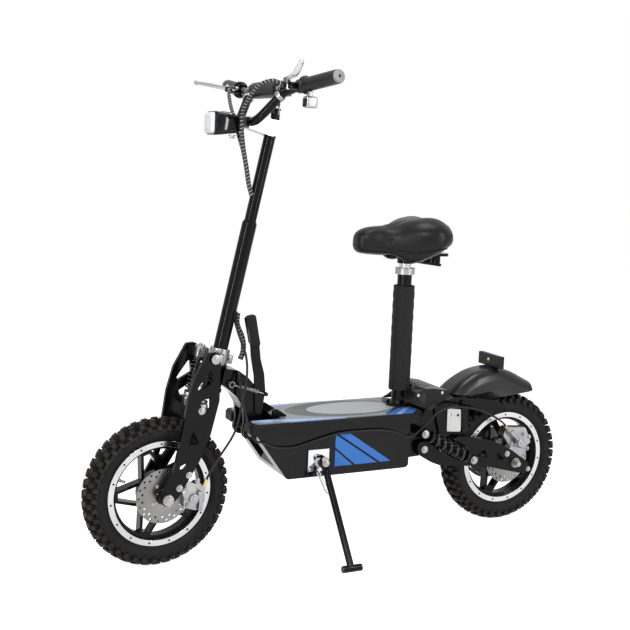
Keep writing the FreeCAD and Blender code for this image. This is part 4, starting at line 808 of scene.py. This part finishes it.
barPad = cushion("barPad", "bar_pad", "steering", padSizes, lambda p: abs(p.y) > padSizes["pinned"],
                 lambda p: Vector())
bpy.context.view_layer.update()
bm = bmesh.new()
for y in padSizes["piping"]:
    addSweep(bm, [onSurface(barPad, steered, onSide(padSizes["line"], y), (math.cos(a), 0, math.sin(a)))
                  for a in [2 * math.pi * i / 20 for i in range(21)]], 0.9, sides=8, steps=3)
addSweep(bm, [onSurface(barPad, steered, onSide(padSizes["line"], y), (-0.6, 0, -0.8)) for y in range(-72, 73, 12)],
         1.1, sides=8, steps=2)
place("barPadSeams", bm, "rubber", "steering")
print("stage: cushions")

# Bars: grips, levers with their perches, clamps, switch, ignition and headlight

gripSizes = {
    "start": (775, 145, 1202), "end": (752, 292, 1222), "ribs": 15, "ribStep": 6.6,
    "rib": ((16.9, 40), (16.9, 43.6), (16.4, 44.4), (16.4, 45.8)),
    "flange": [(12, 29), (20.5, 29.3), (22, 31), (22, 34), (20, 36.5), (17.2, 38)],
    "tip": [(16.6, 140), (16.9, 149), (16.2, 151.4), (12, 151.6)],
    "cap": [(12, 151.3), (15.9, 151.5), (16.2, 154), (14.6, 157.4), (5, 158.2), (4, 157), (3.6, 150), (0, 149.6)],
    "clamp": [(11.2, 9), (16, 9), (17.2, 10.5), (17.2, 23.5), (16, 25), (11.2, 25)]}
ribs = [(radius, high + gripSizes["ribStep"] * i) for i in range(gripSizes["ribs"])
        for radius, high in gripSizes["rib"]]
for side, word in ((1, "left"), (-1, "right")):
    start, end = ((x, side * y, z) for x, y, z in (gripSizes["start"], gripSizes["end"]))
    grip = steered @ facing(start, end)
    for name, line, steps, closed, material, stands in (
            ("Grip", gripSizes["flange"] + ribs + gripSizes["tip"], 40, False, "grip_rubber", (word + "_grip",)),
            ("GripCap", gripSizes["cap"], 40, False, "tip_grey", ()),
            ("PerchClamp", gripSizes["clamp"], 32, True, "black_paint", ())):
        bm = bmesh.new()
        addLathe(bm, line, steps=steps, closed=closed)
        place(word + name, bm, material, "steering", grip, stands=stands)

leverSizes = {
    "leftBlade": [(803, 159, 1204), (820, 176, 1210), (834, 200, 1215), (837, 222, 1217), (836, 240, 1222),
        (834, 254, 1235), (832, 264, 1250)],
    "leftRadii": [6, 7.5, 8, 8, 8.2, 8.2, 6.5], "leftTip": ((832, 264, 1249.5), 5.5),
    "rightTip": ((854, -275, 1222), 6.8),
    "rightBlade": [(803, -159, 1204), (826, -190, 1210), (842, -225, 1216), (850, -252, 1219.5), (854, -274, 1222)],
    "rightRadii": [6, 7, 7.2, 6.6, 6], "pivot": (812, 167)}
bm, silver = bmesh.new(), bmesh.new()
for side in (1, -1):
    x, y = leverSizes["pivot"][0], side * leverSizes["pivot"][1]
    addBox(bm, (797, side * 163, 1203), (38, 21, 17), 5, turned(side * 8, "Z"), segments=3)
    addBox(bm, (812, side * 152, 1204), (15, 26, 14), 4, turned(side * -18, "Z"), segments=3)
    addRod(silver, (x, y, 1193), (x, y, 1213), 4.6, sides=20, bevel=0.8)
    addBolt(silver, (x, y, 1212), (0, 0, 1), 4.4, high=3)
    addRod(silver, (809, side * 141, 1205), (806, side * 130, 1206.5), 5.6, sides=20, bevel=1)
    addRod(silver, (806.5, side * 132, 1206.2), (804, side * 122, 1207.4), 4, sides=16, bevel=0.8)
for word, flat in (("left", 0.5), ("right", 0.75)):
    addSweep(silver, leverSizes[word + "Blade"], leverSizes[word + "Radii"], sides=16, flat=flat)
    addBall(silver, *leverSizes[word + "Tip"])
place("leverPerches", bm, "black_paint", "steering", stands=("left_lever", "right_lever"))
place("leverBlades", silver, "polished", "steering")

ringSizes = {
    "pad": [(9.5, -4.5), (15, -4.5), (15.8, -3.5), (15.8, 3.5), (15, 4.5), (9.5, 4.5)], "padSide": 86,
    "riser": [(9.5, -5.5), (13.6, -5.5), (14.4, -4.6), (14.4, 4.6), (13.6, 5.5), (9.5, 5.5)]}
switchSizes = {"place": (766, 195, 1166), "box": (30, 23, 27), "face": (29, 19, 19)}
silver, dark = bmesh.new(), bmesh.new()
for y in (ringSizes["padSide"], -ringSizes["padSide"]):
    addLathe(silver, ringSizes["pad"], steps=36, matrix=moved(779, y, 1200) @ lieDown, closed=True)
    addBox(silver, (795, y, 1200), (10, 8, 9), 1.5)
for side in (1, -1):
    addLathe(silver, ringSizes["riser"], steps=36, matrix=facing((790, side * 86.5, 1182), (738, side * 142.5, 1247)),
             closed=True)
for y in (11, -11):
    for z in (1110, 1124):
        addRod(silver, (850, y, z), (853.5, y, z), 3.4, sides=16, bevel=0.7)
addBox(silver, switchSizes["place"], switchSizes["box"], 4.5, segments=3)
addBox(silver, (768, 195, 1184), (12, 14, 16), 2)
addBox(dark, (768, 195.2, 1165), switchSizes["face"], 2)
place("switchBox", silver, "cast_silver", "steering", stands=("switch_box",))
place("switchFace", dark, "gloss_black", "steering")

lockSizes = {
    "place": (755, 0, 1153.5),
    "barrel": [(0, -28), (10.5, -28), (11.5, -26), (11.5, -4), (14, -3), (14, 1), (12.5, 2.5), (5, 2.5), (4.5, 1),
        (0, 1)],
    "keyHead": 9.5, "spareHead": 6.5, "keyRing": (9, 0.9)}
bm, silver, dark = bmesh.new(), bmesh.new(), bmesh.new()
addLathe(bm, lockSizes["barrel"], steps=36, matrix=moved(*lockSizes["place"]))
addRod(silver, (755, 0, 1154.5), (755, 0, 1157), 6.5, sides=24, bevel=0.6)
addBox(silver, (755, 0, 1163), (2.2, 7, 15), 0.6)
addRod(dark, (752.5, 0, 1177), (757.5, 0, 1177), lockSizes["keyHead"], sides=28, bevel=1.6)
addRing(silver, *lockSizes["keyRing"], moved(755, 8, 1172) @ turned(90, "Y") @ turned(20, "X"))
addBox(silver, (755, 18, 1152), (2, 6, 22), 0.6, turned(-12, "X"))
addRod(dark, (753, 16, 1166), (757, 16, 1166), lockSizes["spareHead"], sides=24, bevel=1.2)
place("ignitionLock", bm, "gloss_black", "steering", stands=("ignition_lock",))
place("ignitionKeys", silver, "steel", "steering")
place("keyHeads", dark, "plastic", "steering")

lightSizes = {
    "shell": (74, 53, 57), "middle": 1112, "rear": 0.74, "taper": (852, 926), "rim": (8, 53, 57),
    "lens": (14, 47, 51), "ribs": (1095, 1110, 1125)}
bm, clear, silver = bmesh.new(), bmesh.new(), bmesh.new()
addBox(bm, (893, 0, 1110), lightSizes["shell"], 12, segments=5)
for vert in bm.verts:
    share = lightSizes["rear"] + (1 - lightSizes["rear"]) * ease(vert.co.x, *lightSizes["taper"])
    vert.co.y *= share
    vert.co.z = lightSizes["middle"] + (vert.co.z - lightSizes["middle"]) * share
addBox(bm, (927, 0, 1110), lightSizes["rim"], 3.5, segments=3)
addBox(bm, (857, 0, 1112), (16, 30, 26), 4, segments=3)
addBox(clear, (933, 0, 1110), lightSizes["lens"], 6.5, segments=5)
for z in lightSizes["ribs"]:
    addBox(clear, (940, 0, z), (2.4, 38, 1.6), 0.5)
addBox(silver, (890, 0, 1135.5), (40, 30, 3), 1, turned(-6, "Y"))
addBox(bm, (890, 0, 1137), (31, 21, 3), 1, turned(-6, "Y"))
addRod(silver, (873, 0, 1084), (873, 0, 1075), 6, sides=6, bevel=0.7)
addRod(silver, (873, 0, 1084), (873, 0, 1080), 9, sides=24, bevel=0.7)
place("headlightShell", bm, "gloss_black", "steering", stands=("headlight", "headlight_lens"))
place("headlightLens", clear, "lens", "steering")
place("headlightTrim", silver, "polished", "steering")
print("stage: bars")

# Cables: wrapped looms, and plain brake cables with their ferrules. Each has its radius and its line.

cables = {
    "leftLoom": (5.2, (805, 128, 1207), (827, 117, 1214), (850, 93, 1202), (860, 60, 1171), (864, 38, 1140),
        (862, 30, 1108), (848, 15, 1057), (832, 8, 1000), (824, 6, 965), (815, 5, 938)),
    "rightLoom": (4.6, (805, -128, 1207), (829, -118, 1205), (839, -92, 1170), (845, -50, 1126), (848, -14, 1082),
        (841, -2, 1046), (828, -6, 1000), (821, -6, 965), (812, -5, 936)),
    "neckLoom": (7, (840, 0, 637), (842, 1, 615), (838, 2.5, 599), (829, 6, 578), (825, 9, 556), (827, 11.5, 536),
        (835, 13.5, 519)),
    "frontBrake": (3, (848, 11, 643), (850, 13, 611), (845, 28, 577), (841, 58, 538), (847, 80, 493),
        (863, 90, 421), (878, 87, 351), (920, 84, 284), (941, 74, 240), (946, 68, 222)),
    "rearBrake": (3, (818, 95, 322), (800, 98, 318), (761, 98, 302), (708, 98, 300), (640, 98, 316),
        (582, 98, 327), (522, 98, 328), (462, 98, 326), (415, 98, 317), (369, 99, 300), (338, 101, 317),
        (308, 101, 340), (286, 101, 362), (236, 100, 374), (170, 99, 366), (110, 98, 345), (60, 90, 318),
        (30, 74, 297)),
    "rearLoop": (3, (850, 41, 492), (848, 50, 462), (844, 62, 420), (837, 75, 376), (828, 88, 340),
        (817, 95.4, 321.6)),
}


def layCable(bm, name, sides=12, steps=8):
    radius, *line = cables[name]
    addSweep(bm, line, radius, sides=sides, steps=steps)


bm = bmesh.new()
layCable(bm, "leftLoom", 14, 10)
layCable(bm, "rightLoom", 14, 10)
place("barLooms", bm, "spiral_sheath_painted_highlight", "steering", stands=("bar_loom",))
bm = bmesh.new()
layCable(bm, "neckLoom", 16)
place("neckLoom", bm, "spiral_sheath_painted_highlight", "steering", stands=("neck_loom",))
bm, silver = bmesh.new(), bmesh.new()
layCable(bm, "frontBrake")
place("frontBrakeCable", bm, "cable", "steering", stands=("front_brake_cable",))
addRod(silver, (943.5, 71, 230), (949, 66, 210), 4.6, sides=18, bevel=0.8)
place("frontFerrule", silver, "brass", "steering")
bm = bmesh.new()
layCable(bm, "rearBrake")
place("rearBrakeCable", bm, "cable", "frame")
bm = bmesh.new()
layCable(bm, "rearLoop")
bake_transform(place("rearBrakeLoop", bm, "cable", None, upright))
bm = bmesh.new()
addRod(bm, (36, 78, 301), (27, 72, 291), 4.6, sides=18, bevel=0.8)
place("rearFerrule", bm, "brass", "frame")
print("stage: cables")

# Calipers: adjusters, arms, bolts and blocks on the cast bodies

calipers = {
    "front": {"body": "steering", "adjuster": (974, 181), "cap": (62, 70), "hexagon": (69, 71.4),
        "arm": [(960, 69, 199), (957, 70, 176), (958, 69, 149)], "bolts": ((966, 226), (996, 211), (989, 165)),
        "boltFace": 63.7, "blocks": (((984, 60, 197), (40, 10, 26), 27),)},
    "rear": {"body": "frame", "adjuster": (-22, 246), "cap": (76, 83), "hexagon": (82, 84.4),
        "arm": [(14, 80, 284), (2, 81, 270), (-12, 80, 258)], "bolts": ((-50, 262), (-46, 228), (12, 246)),
        "boltFace": 77.4, "blocks": ()},
}
for end, sizes in calipers.items():
    bm, dark = bmesh.new(), bmesh.new()
    addPin(bm, sizes["adjuster"], *sizes["cap"], 13, sides=32, bevel=1.5)
    addPin(dark, sizes["adjuster"], *sizes["hexagon"], 6, sides=6, bevel=0.5)
    addSweep(bm, sizes["arm"], [5.5, 5, 5.5], sides=14, flat=0.5, across=(0, 1, 0))
    for point in sizes["bolts"]:
        addBolt(bm, onSide(point, sizes["boltFace"]), (0, 1, 0), 4.6, high=4)
    for middle, size, turn in sizes["blocks"]:
        addBox(bm, middle, size, 4, turned(turn, "Y"), segments=3)
    place(end + "CaliperParts", bm, "cast_silver", sizes["body"])
    place(end + "CaliperHex", dark, "steel", sizes["body"])
print("stage: calipers")

# Rear: shocks with thick coils, bolts of the swing arm, cover rivets and tail light

shockSizes = {
    "top": (324, 306), "low": (159, 218), "side": 97, "coil": 14.6, "wire": 4.2, "turns": 5, "rod": 6.5,
    "springSeat": 17.5, "eye": 13}
armSizes = {"bolts": ((311, 256, 7), (30, 220, 6), (-48, 168, 5)), "boltFace": 86}
bm, dark, silver = bmesh.new(), bmesh.new(), bmesh.new()
for side in (1, -1):
    top, low = (onSide(shockSizes[end], side * shockSizes["side"]) for end in ("top", "low"))
    way = (low - top).normalized()
    addCoil(bm, top + way * 30, low - way * 27, shockSizes["coil"], shockSizes["wire"], shockSizes["turns"], sides=14,
            perTurn=24)
    addRod(dark, top + way * 6, low - way * 6, shockSizes["rod"], sides=20)
    addRod(dark, top + way * 22, top + way * 31, shockSizes["springSeat"], sides=32, bevel=2)
    addRod(dark, low - way * 28, low - way * 19, shockSizes["springSeat"], sides=32, bevel=2)
    for eye in (top, low):
        addRod(dark, eye - Vector((0, side * 9, 0)), eye + Vector((0, side * 11, 0)), shockSizes["eye"], sides=32,
               bevel=1.5)
        addBolt(silver, eye + Vector((0, side * 11, 0)), (0, side, 0), 7.5, high=5)
place("shockCoils", bm, "spring_black", "frame", stands=("rear_shocks",))
place("shockRods", dark, "gloss_black", "frame")
for side in (1, -1):
    for x, z, size in armSizes["bolts"]:
        addBolt(silver, (x, side * armSizes["boltFace"], z), (0, side, 0), size)
place("rearBolts", silver, "steel", "frame")

fenderSizes = {"tail": 0.17, "front": 0.16, "lift": 14, "crown": 4}
coverSizes = {"base": 366, "drop": 0.85, "rivets": ((337, 409), (260, 412), (252, 386), (340, 380)), "rivetSide": 20}


# The fender's two ends are drawn in, its tail edge is lifted and its crown is raised
def fenderWarp(p):
    return Vector((max(0.0, 60 - p.x) * fenderSizes["tail"] - max(0.0, p.x - 120) * fenderSizes["front"], 0,
                   ease(-p.x, 30, 100) * (1 - ease(p.z, 380, 440)) * fenderSizes["lift"]
                   + fenderSizes["crown"] * hump(p.x, 60, 70) * ease(p.z, 420, 450)))


def coverWarp(p):  # the cover's right front corner is laid down
    return Vector((0, 0, -max(0.0, p.z - coverSizes["base"]) * coverSizes["drop"] * ease(p.x, 290, 345)
                   * ease(-p.y, 30, 60)))


place("fenderShell", copied("rear_fender", fenderWarp), "fender_black", "frame", smooth=45,
      stands=("rear_fender",))
cover = place("coverShell", copied("rear_cover", coverWarp), "plastic", "frame", smooth=30,
              stands=("rear_cover",))
bpy.context.view_layer.update()
bm = bmesh.new()
for side in (1, -1):
    for x, z in coverSizes["rivets"]:
        spot = onSurface(cover, upright, (x, side * coverSizes["rivetSide"], z), (0, side, 0))
        addRod(bm, spot - Vector((0, side, 0)), spot + Vector((0, side * 1.6, 0)), 4.5, sides=16, bevel=0.8)
place("coverRivets", bm, "steel", "frame")

tailSizes = {"lens": (3.5, 92, 28), "screw": 5}
bm, silver = bmesh.new(), bmesh.new()
addBox(bm, (36.5, 0, 479), tailSizes["lens"], 1.5)
addRod(silver, (53, 0, 483), (55.5, 0, 483), tailSizes["screw"], sides=20, bevel=0.8)
place("tailLens", bm, "red_lens", "frame")
place("tailScrew", silver, "brass", "frame")
print("stage: rear")

# Side stand's spring and bolt, latch sleeve and spring, post sleeve and saddle clamp

springSizes = {
    "standCoil": 4.8, "latchCoil": 4.7, "wire": 1.3, "standTop": (652, 120, 236), "standLow": (643, 158, 190),
    "latchFront": (853, 46, 457), "latchRear": (796, 46, 438.5), "eye": (7, 1.9)}
bm = bmesh.new()
addCoil(bm, springSizes["standTop"], springSizes["standLow"], springSizes["standCoil"], springSizes["wire"], 13,
        sides=8, perTurn=14)
addSweep(bm, [(650, 112, 247), (654, 117, 241), springSizes["standTop"]], springSizes["wire"], sides=8, steps=5)
addSweep(bm, [springSizes["standLow"], (642, 161, 186), (634, 163, 190)], springSizes["wire"], sides=8, steps=5)
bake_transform(place("standSpring", bm, "chrome", None, upright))
bm = bmesh.new()
addBolt(bm, (634, 126, 258), (0, 1, 0), 7, high=4)
place("standBolt", bm, "steel", "frame")

bm = bmesh.new()
addBox(bm, (812.5, 37.4, 596), (25, 22.5, 84), 7, turned(11, "Y"), segments=4)
place("latchSleeve", bm, "rubber", "neck")
bm, dark = bmesh.new(), bmesh.new()
addCoil(bm, springSizes["latchFront"], springSizes["latchRear"], springSizes["latchCoil"], springSizes["wire"], 15,
        sides=8, perTurn=14)
addSweep(bm, [springSizes["latchRear"], (786, 46, 435), (778, 46, 432.5)], 1.5, sides=8, steps=4)
addSweep(bm, [(852, 46, 456.5), (857, 46, 458), (862, 46, 459.5)], 1.5, sides=8, steps=4)
addRing(bm, *springSizes["eye"], moved(868, 46, 461.5) @ lieDown)
addPin(dark, (775.5, 432), 40, 52, 5.5, sides=20, bevel=1.5)
place("latchSpring", bm, "disc_steel", "neck", stands=("latch_spring",))
place("latchPeg", dark, "gloss_black", "neck")
print("stage: small parts")

sleeveSizes = {"radius": 29.6, "low": 412, "top": 702, "rows": 30, "post": 352}
bm = bmesh.new()
high = sleeveSizes["top"] - sleeveSizes["low"]
addLathe(bm, [(27.2, sleeveSizes["low"])] + [
    (sleeveSizes["radius"] + 0.5 * math.sin(i * 1.9) + 0.35 * math.sin(i * 4.3),
     sleeveSizes["low"] + high * i / sleeveSizes["rows"]) for i in range(sleeveSizes["rows"] + 1)]
    + [(26.8, sleeveSizes["top"] + 1.5)], steps=40, matrix=moved(sleeveSizes["post"], 0, 0))
place("postSleeve", bm, "foam", "frame", smooth=50, stands=("post_sleeve",))
bm = bmesh.new()
addBox(bm, (sleeveSizes["post"], 0, 743), (46, 13, 12), 2.5, segments=3)
for side in (1, -1):
    addBolt(bm, (sleeveSizes["post"] + side * 22, 0, 743), (side, 0, 0), 5, high=3)
place("seatClamp", bm, "cast_silver", "frame")
print("stage: seat")

bpy.context.view_layer.update()
